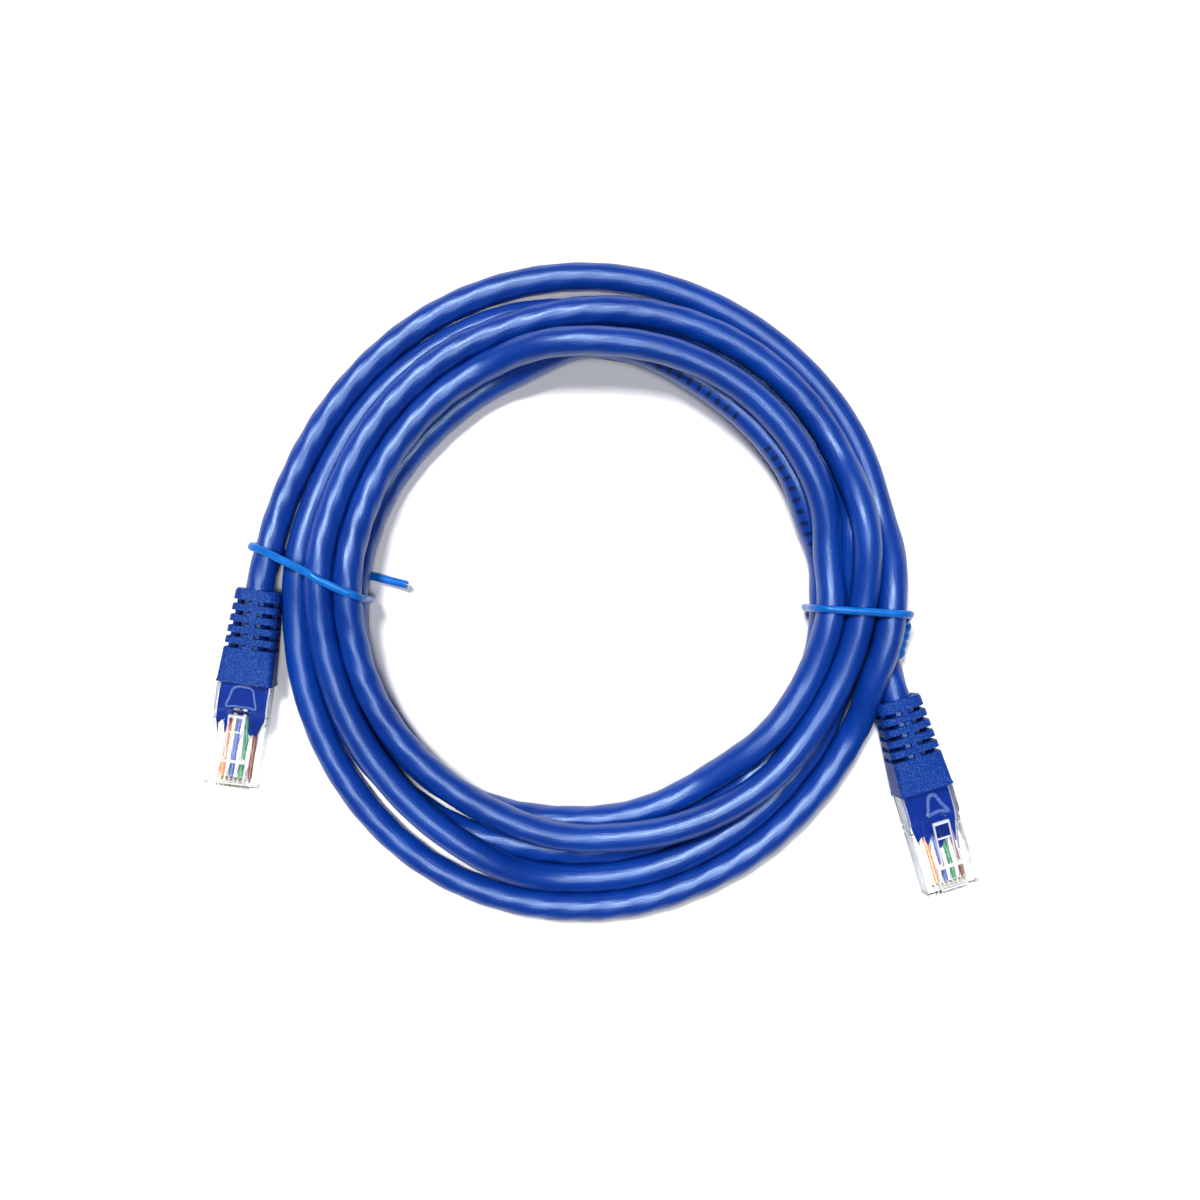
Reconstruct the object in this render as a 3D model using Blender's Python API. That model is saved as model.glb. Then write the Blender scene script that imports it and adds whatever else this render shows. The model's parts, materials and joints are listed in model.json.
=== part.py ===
"""Coiled ethernet patch cable: an eight-wire jacketed cable wound into a flat coil and held by two
plastic-coated wire ties, with a ribbed bend-relief boot and a clear eight-contact plug on each end.

The cable lies on the XY plane with +Z up. The origin is the middle of its footprint, on the surface
it lies on. Each plug is modelled in its own frame, on an empty: +Y runs from the cable towards the
plug's nose, +Z is the latch side, and the origin is on the cable's axis at the boot's rear face.
"""

import math

import bmesh
import bpy
from mathutils import Matrix, Vector

GAP = 0.0003

# Cable and its coil.
CABLE_R = 0.0032
JACKET_BORE_R = 0.0035
COIL_CENTRE = (0.0004, 0.0)
COIL_OUTER_R = 0.0722
COIL_OVAL = 0.0028
COIL_INNER_R = 0.0498
COIL_INNER_SHIFT = (-0.0019, 0.0011)
COIL_HEIGHT = 0.0156
COIL_RISE = 0.0032
COIL_RISE_ANGLE = math.radians(45)
COIL_EDGE_R = 0.0030
COIL_STATIONS = 72
COIL_EDGE_STEPS = 3

# Ribbed boot, along the plug's +Y.
BOOT_LENGTH = 0.0210
BOOT_REAR = (0.0100, 0.0088, 0.0026)
BOOT_FRONT = (0.0123, 0.0094, 0.0007)
BOOT_SECTIONS = 5
COLLAR_LENGTH = 0.0024
SLOT_LENGTH = 0.0011
SLOT_PITCH = 0.0025
SLOT_COUNT = 5
SPINE_WIDTH = 0.0012

# Clear plug housing: total length, outside width and the heights of its faces above the cable's axis.
PLUG_LENGTH = 0.0229
PLUG_WIDTH = 0.01168
PLUG_REAR = BOOT_LENGTH + GAP
PLUG_NOSE = PLUG_REAR + PLUG_LENGTH
FACE_LOW = -0.0039
FACE_TOP = FACE_LOW + 0.0066
FACE_REAR_TOP = FACE_LOW + 0.0079
REAR_BLOCK_LENGTH = 0.0056
CHAMBER_LENGTH = 0.0098
CHAMBER_LOW = -0.0030
CHAMBER_TOP = 0.0018
CHAMBER_HALF_REAR = 0.0049
CHAMBER_HALF_NOSE = 0.0043
WIRE_SLOT_LOW = -0.0017
WIRE_SLOT_TOP = -0.0003
WIRE_SLOT_END = PLUG_NOSE - 0.0016
NOSE_BEVEL = 0.0005
REAR_STEP_SLOPE = 0.0010
CHAMBER_FLOOR_RAMP = 0.0028
CHAMBER_ROOF_RAMP = 0.0034
CUT_PAST = 0.0020

# Contacts and conductors, eight in a row.
PIN_COUNT = 8
PIN_PITCH = 0.00102
BLADE_THICKNESS = 0.00032
BLADE_SLOT_WIDTH = 0.00072
BLADE_LENGTH = 0.0058
BLADE_BACK = PLUG_NOSE - 0.0006 - BLADE_LENGTH
BLADE_FRONT = PLUG_NOSE - 0.0009
BLADE_RECESS = 0.00015
BLADE_CORNER = 0.0004
PRONG_PITCH = 0.0006
PRONG_DEPTH = 0.0005
CONDUCTOR_R = 0.00036
CONDUCTOR_LEVEL = -0.0010
CONDUCTOR_SPLAY = 0.0009
SPLAY_HIGH = 1.5
SPLAY_LOW = 0.4
CONDUCTOR_BENDS = (0.0012, 0.0036)
MOULD_BEVEL = (0.0012, 0.0009)

# Strain-relief bar in its window.
BAR_WIDTH = 0.0056
BAR_START = PLUG_REAR + 0.0012
BAR_LENGTH = 0.0032
BAR_LOW = CHAMBER_TOP + GAP
BAR_TOP = FACE_REAR_TOP - 0.0005
BAR_TOE = (0.0008, 0.0012)
BAR_BEVEL = 0.0004

# Latch: a lever hinged at the nose, free at the boot's end.
HINGE_BACK = 0.0016
LATCH_THICKNESS = 0.0009
LATCH_RISE = math.radians(13.5)
LATCH_ROOT = 0.0007
LATCH_WIDE = 0.0050
LATCH_LENGTH = 0.0146
LATCH_WIDE_HALF = 0.0031
LATCH_FINGER_HALF = 0.00185
LATCH_NECK = 0.0006
HINGE_HEIGHT = FACE_TOP + GAP + LATCH_THICKNESS / 2 + 0.0002

# Each plug's place: the point where the cable enters its boot, its turn about Z and its roll.
PLUG_A = {"at": (-0.0744, 0.0003, 0.0054), "turn": math.radians(171.8), "roll": math.radians(-5)}
PLUG_B = {"at": (0.0679, -0.0240, 0.0054), "turn": math.radians(196.2), "roll": math.radians(-5)}
BERTH_HEIGHTS = (-0.008, 0.022)

# Leads, from a little way out of each boot to the coil, as points along their own routes.
LEAD_STRAIGHT = 0.0036
LEAD_A = (
    (-0.0732, 0.0095, 0.0060),
    (-0.0717, 0.0150, 0.0056),
    (-0.0695, 0.0213, 0.0043),
    (-0.0662, 0.0290, 0.0034),
    (-0.0561, 0.0442, 0.0033),
    (-0.0457, 0.0550, 0.0033),
    (-0.0354, 0.0620, 0.0033),
    (-0.0261, 0.0664, 0.0033),
)
LEAD_B = (
    (0.0652, -0.0148, 0.0053),
    (0.0640, -0.0092, 0.0055),
)
LEAD_SPACING = 2.2 * CABLE_R

# Wire ties: coated wire round the coil's section.
TIE_R = 0.00112
TIE_CLEAR = TIE_R + GAP
TIE_BEND = 0.0018
TIE_LOW = TIE_R + 0.0002
TIE_A_OUTER = (-0.0781, 0.0108)
TIE_A_INNER = (-0.0495, 0.0006)
TIE_A_TAIL = (-0.0425, 0.0024)
TIE_A_HOOK = (-0.0600, -0.0012)
TIE_B_OUTER = (0.0722, -0.0053)
TIE_B_INNER = (0.0464, -0.0040)
TIE_TAIL_LENGTH = 0.0080
TIE_TAIL_SKEW = 0.0012
TIE_GROOVE_DEPTH = 0.0020

WIRE_COLOURS = (
    ("white_orange", (0.86, 0.74, 0.62)),
    ("orange", (0.80, 0.22, 0.03)),
    ("white_green", (0.70, 0.80, 0.68)),
    ("blue", (0.05, 0.10, 0.42)),
    ("white_blue", (0.68, 0.74, 0.84)),
    ("green", (0.03, 0.26, 0.10)),
    ("white_brown", (0.78, 0.70, 0.62)),
    ("brown", (0.16, 0.05, 0.03)),
)


def clear_scene():
    """Remove every object of the file the script starts from."""
    for old in list(bpy.data.objects):
        bpy.data.objects.remove(old, do_unlink=True)


def material(name, colour, roughness=0.5, metallic=0.0, transmission=0.0):
    """One Principled material."""
    made = bpy.data.materials.new(name)
    made.use_nodes = True
    shader = made.node_tree.nodes["Principled BSDF"]
    shader.inputs["Base Color"].default_value = (*colour, 1.0)
    shader.inputs["Roughness"].default_value = roughness
    shader.inputs["Metallic"].default_value = metallic
    shader.inputs["Transmission Weight"].default_value = transmission
    made.diffuse_color = (*colour, 1.0)
    return made


def add(name, data, finish, parent=None):
    """Put mesh or curve data in the scene as one named object."""
    made = bpy.data.objects.new(name, data)
    bpy.context.scene.collection.objects.link(made)
    data.materials.append(finish)
    made.parent = parent
    return made


def mesh_from(bm, name):
    """A mesh of a bmesh, with its faces turned outwards."""
    bmesh.ops.recalc_face_normals(bm, faces=bm.faces)
    data = bpy.data.meshes.new(name)
    bm.to_mesh(data)
    bm.free()
    return data


def side_prism(bm, outline, half_width, x=0.0):
    """Extrude a side outline of (y, z) points across the plug; half_width may vary with y."""
    rows = []
    for side in (-1, 1):
        rows.append([bm.verts.new((x + side * half_width(y), y, z)) for y, z in outline])
    bm.faces.new(rows[0])
    bm.faces.new(rows[1])
    for i in range(len(outline)):
        j = (i + 1) % len(outline)
        bm.faces.new((rows[0][i], rows[0][j], rows[1][j], rows[1][i]))


def box(bm, low, high):
    """A box between two corners."""
    outline = ((low[1], low[2]), (high[1], low[2]), (high[1], high[2]), (low[1], high[2]))
    side_prism(bm, outline, lambda y: (high[0] - low[0]) / 2, (low[0] + high[0]) / 2)


def cut(target, bm, name, finish):
    """Cut a closed bmesh shape out of an object with a live Boolean."""
    cutter = add(name, mesh_from(bm, name), finish, target.parent)
    cutter.hide_render = True
    cutter.display_type = "WIRE"
    modifier = target.modifiers.new(name, "BOOLEAN")
    modifier.object = cutter
    modifier.operation = "DIFFERENCE"


def smooth(target):
    """Shade an object smooth, with its sharp edges kept."""
    target.data.shade_smooth()
    target.data.set_sharp_from_angle(angle=math.radians(35))


def spline_through(points, spacing):
    """Points at an even spacing along a smooth curve through the given points."""
    knots = [Vector(p) for p in points]
    knots = [2 * knots[0] - knots[1]] + knots + [2 * knots[-1] - knots[-2]]
    fine = []
    steps = 24
    for a, b, c, d in zip(knots, knots[1:], knots[2:], knots[3:]):
        for i in range(steps):
            t = i / steps
            fine.append(
                0.5 * (2 * b + (c - a) * t + (2 * a - 5 * b + 4 * c - d) * t**2
                       + (3 * b - a - 3 * c + d) * t**3)
            )
    fine.append(knots[-2])
    lengths = [0.0]
    for p, q in zip(fine, fine[1:]):
        lengths.append(lengths[-1] + (q - p).length)
    count = max(2, round(lengths[-1] / spacing))
    made = [fine[0]]
    k = 0
    for i in range(1, count):
        want = lengths[-1] * i / count
        while lengths[k + 1] < want:
            k += 1
        share = (want - lengths[k]) / (lengths[k + 1] - lengths[k])
        made.append(fine[k].lerp(fine[k + 1], share))
    made.append(fine[-1])
    return made


def place_matrix(place):
    """Where a plug's own frame lies in the cable's frame."""
    turn = Matrix.Rotation(place["turn"], 4, "Z") @ Matrix.Rotation(place["roll"], 4, "Y")
    return Matrix.Translation(place["at"]) @ turn


def lead_route(place, points):
    """A lead's even points: straight out of its boot, then through its own points to the coil."""
    frame = place_matrix(place)
    first, second, third = (frame @ Vector((0, y, 0)) for y in (-GAP, -LEAD_STRAIGHT / 2, -LEAD_STRAIGHT))
    return [first] + spline_through((second, third) + points, LEAD_SPACING)


def tube(name, points, radius, finish, resolution=3, parent=None):
    """A round tube along a route, as a curve with a bevel and filled caps."""
    data = bpy.data.curves.new(name, "CURVE")
    data.dimensions = "3D"
    data.bevel_depth = radius
    data.bevel_resolution = resolution
    data.use_fill_caps = True
    line = data.splines.new("POLY")
    line.points.add(len(points) - 1)
    for slot, point in zip(line.points, points):
        slot.co = (*point, 1.0)
    add(name, data, finish, parent)


def channel(bm, points, radius, sides=12):
    """A closed round bar along a route, for cutting the bed that a tube lies in."""
    rings = []
    for i, point in enumerate(points):
        before = points[max(i - 1, 0)]
        after = points[min(i + 1, len(points) - 1)]
        along = (after - before).normalized()
        across = along.cross(Vector((0, 0, 1))).normalized()
        up = across.cross(along)
        ring = []
        for k in range(sides):
            turn = 2 * math.pi * (k + 0.5) / sides
            offset = across * math.cos(turn) + up * math.sin(turn)
            ring.append(bm.verts.new(point + offset * radius))
        rings.append(ring)
    for first, second in zip(rings, rings[1:]):
        for k in range(sides):
            n = (k + 1) % sides
            bm.faces.new((first[k], first[n], second[n], second[k]))
    bm.faces.new(rings[0])
    bm.faces.new(rings[-1])


def coil_radii(angle):
    """The coil's inner and outer radius at an angle round its centre."""
    outer = COIL_OUTER_R - COIL_OVAL * math.cos(2 * angle)
    shift = Vector(COIL_INNER_SHIFT)
    towards = Vector((math.cos(angle), math.sin(angle)))
    along = shift.dot(towards)
    inner = along + math.sqrt(COIL_INNER_R**2 - shift.length_squared + along**2)
    return inner, outer


def coil_top(angle):
    """The coil's height at an angle: the turns pile up on one side."""
    return COIL_HEIGHT + COIL_RISE * math.cos(angle - COIL_RISE_ANGLE)


def coil_section(angle):
    """The coil's rounded section at an angle, as (radius, height) points."""
    inner, outer = coil_radii(angle)
    top = coil_top(angle)
    r = COIL_EDGE_R
    corners = ((outer - r, r, -90), (outer - r, top - r, 0), (inner + r, top - r, 90), (inner + r, r, 180))
    points = []
    for x, z, start in corners:
        for k in range(COIL_EDGE_STEPS + 1):
            turn = math.radians(start + 90 * k / COIL_EDGE_STEPS)
            points.append((x + r * math.cos(turn), z + r * math.sin(turn)))
    return points


def build_coil(finish, leads):
    """The coil's outer shape: a turned ring, with beds for the leads and passages for the ties."""
    bm = bmesh.new()
    rings = []
    for i in range(COIL_STATIONS):
        angle = 2 * math.pi * i / COIL_STATIONS
        ring = []
        for radius, height in coil_section(angle):
            x = COIL_CENTRE[0] + radius * math.cos(angle)
            y = COIL_CENTRE[1] + radius * math.sin(angle)
            ring.append(bm.verts.new((x, y, height)))
        rings.append(ring)
    for i, ring in enumerate(rings):
        following = rings[(i + 1) % COIL_STATIONS]
        for k in range(len(ring)):
            n = (k + 1) % len(ring)
            bm.faces.new((ring[k], ring[n], following[n], following[k]))
    coil = add("cable_coil", mesh_from(bm, "cable_coil"), finish)
    smooth(coil)
    for name, points in leads.items():
        bm = bmesh.new()
        past = points[-1] + (points[-1] - points[-2]).normalized() * GAP
        channel(bm, points[:-1] + [past], CABLE_R + GAP)
        cut(coil, bm, name + "_bed", finish)
    passages = (
        ("tie_left_passage", TIE_A_OUTER, TIE_A_TAIL),
        ("tie_hook_passage", TIE_A_HOOK, TIE_A_INNER),
        ("tie_right_passage", TIE_B_OUTER, TIE_B_INNER),
    )
    for name, outer, inner in passages:
        bm = bmesh.new()
        tie_passage(bm, outer, inner)
        cut(coil, bm, name, finish)
    bm = bmesh.new()
    boot_berth(bm, PLUG_B)
    cut(coil, bm, "boot_berth", finish)


def boot_berth(bm, place):
    """The space that a boot takes beside the coil, over its whole height."""
    low, high = BERTH_HEIGHTS
    outline = ((-GAP, low), (BOOT_LENGTH, low), (BOOT_LENGTH, high), (-GAP, high))
    growth = (BOOT_FRONT[0] - BOOT_REAR[0]) / 2 / BOOT_LENGTH
    side_prism(bm, outline, lambda y: BOOT_REAR[0] / 2 + growth * y + GAP)
    bmesh.ops.transform(bm, matrix=place_matrix(place), verts=bm.verts)


def tie_passage(bm, outer, inner):
    """A square groove under the coil, between two points in plan, for one run of a tie."""
    start = Vector((*outer, 0.0))
    end = Vector((*inner, 0.0))
    along = (end - start).normalized()
    across = Vector((-along.y, along.x, 0.0)) * (TIE_R + GAP)
    start = start - along * (TIE_R + GAP)
    end = end + along * (TIE_R + GAP)
    corners = (start - across, end - across, end + across, start + across)
    low = [bm.verts.new(p + Vector((0, 0, -TIE_GROOVE_DEPTH))) for p in corners]
    high = [bm.verts.new(p + Vector((0, 0, TIE_LOW + TIE_R + GAP))) for p in corners]
    bm.faces.new(low)
    bm.faces.new(high)
    for i in range(4):
        j = (i + 1) % 4
        bm.faces.new((low[i], low[j], high[j], high[i]))


def plan(point, height):
    """A point in plan raised to a height."""
    return Vector((point[0], point[1], height))


def over_coil(point):
    """A point in plan, raised to where a tie's wire lies on the coil."""
    angle = math.atan2(point[1] - COIL_CENTRE[1], point[0] - COIL_CENTRE[0])
    return plan(point, coil_top(angle) + TIE_CLEAR)


def build_tie_left(finish):
    """Left tie: from its cut tail, under the coil, over the top on a slant, and hooked under again."""
    outer, inner, tail, hook = (Vector(p) for p in (TIE_A_OUTER, TIE_A_INNER, TIE_A_TAIL, TIE_A_HOOK))
    under = (outer - tail).normalized() * TIE_BEND
    across = (outer - inner).normalized() * TIE_BEND
    back = (hook - inner).normalized() * TIE_BEND
    top = over_coil(outer).z
    route = [
        plan(tail, TIE_LOW),
        plan(tail.lerp(outer, 0.5), TIE_LOW),
        plan(outer - under, TIE_LOW),
        plan(outer, TIE_LOW + TIE_BEND),
        plan(outer, top - TIE_BEND),
        plan(outer - across, top),
        plan(outer.lerp(inner, 0.5), top),
        plan(inner + across, top),
        plan(inner, top - TIE_BEND),
        plan(inner, TIE_LOW + TIE_BEND),
        plan(inner + back, TIE_LOW),
        plan(hook, TIE_LOW),
    ]
    tube("tie_left", spline_through(route, 2.5 * TIE_R), TIE_R, finish, 2)


def build_tie_right(finish):
    """Right tie: a loop round the coil's section whose two ends lie side by side outside it."""
    outer = Vector(TIE_B_OUTER)
    inner = Vector(TIE_B_INNER)
    across = (outer - inner).normalized() * TIE_BEND
    tail = Vector((TIE_TAIL_SKEW, -TIE_TAIL_LENGTH))
    top = over_coil(inner).z
    upper = TIE_LOW + 2 * TIE_R + 2 * GAP
    route = [
        plan(outer + tail, TIE_LOW),
        plan(outer + tail * 0.6, TIE_LOW),
        plan(outer + tail * 0.25, TIE_LOW),
        plan(outer - across, TIE_LOW),
        plan(outer.lerp(inner, 0.5), TIE_LOW),
        plan(inner + across, TIE_LOW),
        plan(inner, TIE_LOW + TIE_BEND),
        plan(inner, top - TIE_BEND),
        plan(inner + across, top),
        plan(outer.lerp(inner, 0.5), top),
        plan(outer - across, top),
        plan(outer, top - TIE_BEND),
        plan(outer, upper + 2 * TIE_BEND),
        plan(outer + tail * 0.35, upper),
        plan(outer + tail * 0.65, upper),
        plan(outer + tail, upper),
    ]
    tube("tie_right", spline_through(route, 2.5 * TIE_R), TIE_R, finish, 2)


def rounded_section(bm, width, height, corner, y):
    """A ring of vertices round a rounded rectangle across the plug's axis."""
    steps = 3
    ring = []
    for sx, sz, start in ((1, 1, 0), (-1, 1, 90), (-1, -1, 180), (1, -1, 270)):
        for k in range(steps + 1):
            turn = math.radians(start + 90 * k / steps)
            x = sx * (width / 2 - corner) + corner * math.cos(turn)
            z = sz * (height / 2 - corner) + corner * math.sin(turn)
            ring.append(bm.verts.new((x, y, z)))
    return ring


def build_boot(tag, parent, finish):
    """Boot: a tapering sleeve on the cable, slotted on both sides of a spine so that it bends."""
    bm = bmesh.new()
    rings = []
    for i in range(BOOT_SECTIONS):
        share = i / (BOOT_SECTIONS - 1)
        size = [a + (b - a) * share for a, b in zip(BOOT_REAR, BOOT_FRONT)]
        rings.append(rounded_section(bm, *size, BOOT_LENGTH * share))
    for first, second in zip(rings, rings[1:]):
        for k in range(len(first)):
            n = (k + 1) % len(first)
            bm.faces.new((first[k], first[n], second[n], second[k]))
    bm.faces.new(rings[0])
    bm.faces.new(rings[-1])
    boot = add("boot_" + tag, mesh_from(bm, "boot"), finish, parent)
    smooth(boot)
    bm = bmesh.new()
    reach = Matrix.Translation((0, BOOT_LENGTH / 2, 0)) @ Matrix.Rotation(math.pi / 2, 4, "X")
    bmesh.ops.create_cone(
        bm, cap_ends=True, segments=24, radius1=JACKET_BORE_R, radius2=JACKET_BORE_R,
        depth=BOOT_LENGTH + 2 * CUT_PAST, matrix=reach,
    )
    cut(boot, bm, "boot_bore_" + tag, finish)
    bm = bmesh.new()
    for side in (-1, 1):
        for i in range(SLOT_COUNT):
            start = COLLAR_LENGTH + i * SLOT_PITCH
            near = side * SPINE_WIDTH / 2
            far = side * BOOT_FRONT[0]
            low = (min(near, far), start, -BOOT_FRONT[1])
            high = (max(near, far), start + SLOT_LENGTH, BOOT_FRONT[1])
            box(bm, low, high)
    cut(boot, bm, "boot_slots_" + tag, finish)


def chamber_half(y):
    """Half the width of the housing's hollow at a place along the plug."""
    share = (y - PLUG_REAR) / PLUG_LENGTH
    return CHAMBER_HALF_REAR + (CHAMBER_HALF_NOSE - CHAMBER_HALF_REAR) * share


def pin_places():
    """Each contact's place across the plug, contact 1 first."""
    return [(PIN_COUNT / 2 - 0.5 - i) * PIN_PITCH for i in range(PIN_COUNT)]


def build_housing(tag, parent, finish):
    """Housing: a clear block with a chamber for the cable, a wire slot, blade slots and a bar window."""
    step = PLUG_REAR + REAR_BLOCK_LENGTH
    outline = (
        (PLUG_REAR, FACE_LOW),
        (PLUG_NOSE - NOSE_BEVEL, FACE_LOW),
        (PLUG_NOSE, FACE_LOW + NOSE_BEVEL),
        (PLUG_NOSE, FACE_TOP - NOSE_BEVEL),
        (PLUG_NOSE - NOSE_BEVEL, FACE_TOP),
        (step + REAR_STEP_SLOPE, FACE_TOP),
        (step, FACE_REAR_TOP),
        (PLUG_REAR, FACE_REAR_TOP),
    )
    bm = bmesh.new()
    side_prism(bm, outline, lambda y: PLUG_WIDTH / 2)
    housing = add("housing_" + tag, mesh_from(bm, "housing"), finish, parent)

    bm = bmesh.new()
    chamber_end = PLUG_REAR + CHAMBER_LENGTH
    hollow = (
        (PLUG_REAR - CUT_PAST, CHAMBER_LOW),
        (chamber_end, CHAMBER_LOW),
        (chamber_end + CHAMBER_FLOOR_RAMP, WIRE_SLOT_LOW),
        (WIRE_SLOT_END, WIRE_SLOT_LOW),
        (WIRE_SLOT_END, WIRE_SLOT_TOP),
        (chamber_end + CHAMBER_ROOF_RAMP, WIRE_SLOT_TOP),
        (chamber_end, CHAMBER_TOP),
        (PLUG_REAR - CUT_PAST, CHAMBER_TOP),
    )
    side_prism(bm, hollow, chamber_half)
    cut(housing, bm, "chamber_" + tag, finish)

    bm = bmesh.new()
    for x in pin_places():
        low = (x - BLADE_SLOT_WIDTH / 2, BLADE_BACK - GAP, FACE_LOW - CUT_PAST)
        high = (x + BLADE_SLOT_WIDTH / 2, BLADE_FRONT + GAP, WIRE_SLOT_LOW + 0.0001)
        box(bm, low, high)
    cut(housing, bm, "blade_slots_" + tag, finish)

    bm = bmesh.new()
    half = BAR_WIDTH / 2 + GAP
    low = (-half, BAR_START - GAP, CHAMBER_TOP - 0.0002)
    high = (half, BAR_START + BAR_LENGTH + GAP, FACE_REAR_TOP + CUT_PAST)
    box(bm, low, high)
    cut(housing, bm, "bar_window_" + tag, finish)


def build_bar(tag, parent, finish):
    """Strain-relief bar, pressed down on the cable through its window."""
    end = BAR_START + BAR_LENGTH
    outline = (
        (BAR_START, BAR_LOW + BAR_TOE[1]),
        (BAR_START + BAR_TOE[0], BAR_LOW),
        (end, BAR_LOW),
        (end, BAR_TOP - BAR_BEVEL),
        (end - BAR_BEVEL, BAR_TOP),
        (BAR_START, BAR_TOP),
    )
    bm = bmesh.new()
    side_prism(bm, outline, lambda y: BAR_WIDTH / 2)
    add("relief_bar_" + tag, mesh_from(bm, "relief_bar"), finish, parent)


def build_inner_mould(tag, parent, finish):
    """Inner mould: the blue plastic that fills the housing's chamber round the stripped cable end."""
    end = PLUG_REAR + CHAMBER_LENGTH - GAP
    low = CHAMBER_LOW + GAP
    high = CHAMBER_TOP - GAP
    back, down = MOULD_BEVEL
    outline = (
        (PLUG_REAR, low),
        (end - back, low),
        (end, low + down),
        (end, high - down),
        (end - back, high),
        (PLUG_REAR, high),
    )
    bm = bmesh.new()
    side_prism(bm, outline, lambda y: chamber_half(y) - GAP)
    add("inner_mould_" + tag, mesh_from(bm, "inner_mould"), finish, parent)


def build_jacket_end(tag, parent, finish):
    """The jacketed cable end inside the boot."""
    points = [Vector((0, BOOT_LENGTH * i / 4, 0)) for i in range(5)]
    tube("jacket_end_" + tag, points, CABLE_R, finish, 4, parent)


def build_contact(tag, number, x, parent, finish):
    """One gold-plated blade, its prongs under the conductor and its edge at the contact face."""
    low = FACE_LOW + BLADE_RECESS
    top = WIRE_SLOT_LOW + 0.00005
    outline = (
        (BLADE_BACK, low + BLADE_CORNER),
        (BLADE_BACK + BLADE_CORNER, low),
        (BLADE_FRONT - 2 * BLADE_CORNER, low),
        (BLADE_FRONT - BLADE_CORNER / 2, low + BLADE_CORNER / 2),
        (BLADE_FRONT, low + 2 * BLADE_CORNER),
        (BLADE_FRONT, top - PRONG_DEPTH),
        (BLADE_FRONT - PRONG_PITCH, top),
        (BLADE_FRONT - 2 * PRONG_PITCH, top - PRONG_DEPTH),
        (BLADE_FRONT - 3 * PRONG_PITCH, top),
        (BLADE_FRONT - 4 * PRONG_PITCH, top - PRONG_DEPTH),
        (BLADE_BACK, top - PRONG_DEPTH),
    )
    bm = bmesh.new()
    side_prism(bm, outline, lambda y: BLADE_THICKNESS / 2, x)
    add(f"contact_{tag}{number}", mesh_from(bm, "contact"), finish, parent)


def build_conductor(tag, number, x, parent, finish):
    """One insulated conductor, from the inner mould down into the wire slot."""
    start = PLUG_REAR + CHAMBER_LENGTH
    level = CONDUCTOR_LEVEL
    splay = level + CONDUCTOR_SPLAY * (SPLAY_HIGH if number % 2 else SPLAY_LOW)
    bend, flat = CONDUCTOR_BENDS
    route = (
        (x, start, splay),
        (x, start + bend, splay),
        (x, start + flat, level),
        (x, WIRE_SLOT_END - GAP, level),
    )
    points = [Vector(p) for p in route]
    tube(f"conductor_{tag}{number}", points, CONDUCTOR_R, finish, 1, parent)


def build_latch(tag, parent, finish):
    """Latch: a T-shaped lever on its hinge line, rising from the nose towards the boot."""
    outline = (
        (LATCH_WIDE_HALF, LATCH_ROOT),
        (LATCH_WIDE_HALF, -LATCH_WIDE),
        (LATCH_FINGER_HALF, -LATCH_WIDE - LATCH_NECK),
        (LATCH_FINGER_HALF, -LATCH_LENGTH),
        (-LATCH_FINGER_HALF, -LATCH_LENGTH),
        (-LATCH_FINGER_HALF, -LATCH_WIDE - LATCH_NECK),
        (-LATCH_WIDE_HALF, -LATCH_WIDE),
        (-LATCH_WIDE_HALF, LATCH_ROOT),
    )
    bm = bmesh.new()
    lever = bm.faces.new([bm.verts.new((x, y, -LATCH_THICKNESS / 2)) for x, y in outline])
    raised = bmesh.ops.extrude_face_region(bm, geom=[lever])["geom"]
    top = [v for v in raised if isinstance(v, bmesh.types.BMVert)]
    bmesh.ops.translate(bm, verts=top, vec=(0, 0, LATCH_THICKNESS))
    bmesh.ops.rotate(bm, verts=bm.verts, cent=(0, 0, 0), matrix=Matrix.Rotation(-LATCH_RISE, 3, "X"))
    latch = add("latch_" + tag, mesh_from(bm, "latch"), finish, parent)
    latch.location = (0, PLUG_NOSE - HINGE_BACK, HINGE_HEIGHT)


def build_plug(tag, place, finishes):
    """One plug with its boot and all that is inside it, on an empty at the cable's entry."""
    frame = bpy.data.objects.new("plug_frame_" + tag, None)
    bpy.context.scene.collection.objects.link(frame)
    frame.location = place["at"]
    frame.rotation_euler = (0, place["roll"], place["turn"])
    build_boot(tag, frame, finishes["boot"])
    build_jacket_end(tag, frame, finishes["jacket"])
    build_housing(tag, frame, finishes["clear"])
    build_bar(tag, frame, finishes["clear"])
    build_inner_mould(tag, frame, finishes["mould"])
    build_latch(tag, frame, finishes["clear"])
    for number, x in enumerate(pin_places(), 1):
        build_contact(tag, number, x, frame, finishes["gold"])
        colour = WIRE_COLOURS[number - 1][0]
        build_conductor(tag, number, x, frame, finishes[colour])


def main():
    """Build the whole cable."""
    clear_scene()
    finishes = {
        "jacket": material("jacket", (0.012, 0.075, 0.50), 0.32),
        "boot": material("boot", (0.015, 0.080, 0.46), 0.48),
        "mould": material("mould", (0.006, 0.035, 0.36), 0.35),
        "clear": material("clear", (0.93, 0.94, 0.95), 0.08, transmission=0.9),
        "gold": material("gold", (0.83, 0.62, 0.22), 0.25, metallic=1.0),
        "tie": material("tie", (0.010, 0.200, 0.66), 0.38),
    }
    for name, colour in WIRE_COLOURS:
        finishes[name] = material("wire_" + name, colour, 0.4)
    leads = {
        "lead_a": lead_route(PLUG_A, LEAD_A),
        "lead_b": lead_route(PLUG_B, LEAD_B),
    }
    for name, points in leads.items():
        tube(name, points, CABLE_R, finishes["jacket"])
    build_coil(finishes["jacket"], leads)
    build_tie_left(finishes["tie"])
    build_tie_right(finishes["tie"])
    build_plug("a", PLUG_A, finishes)
    build_plug("b", PLUG_B, finishes)


main()
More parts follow.
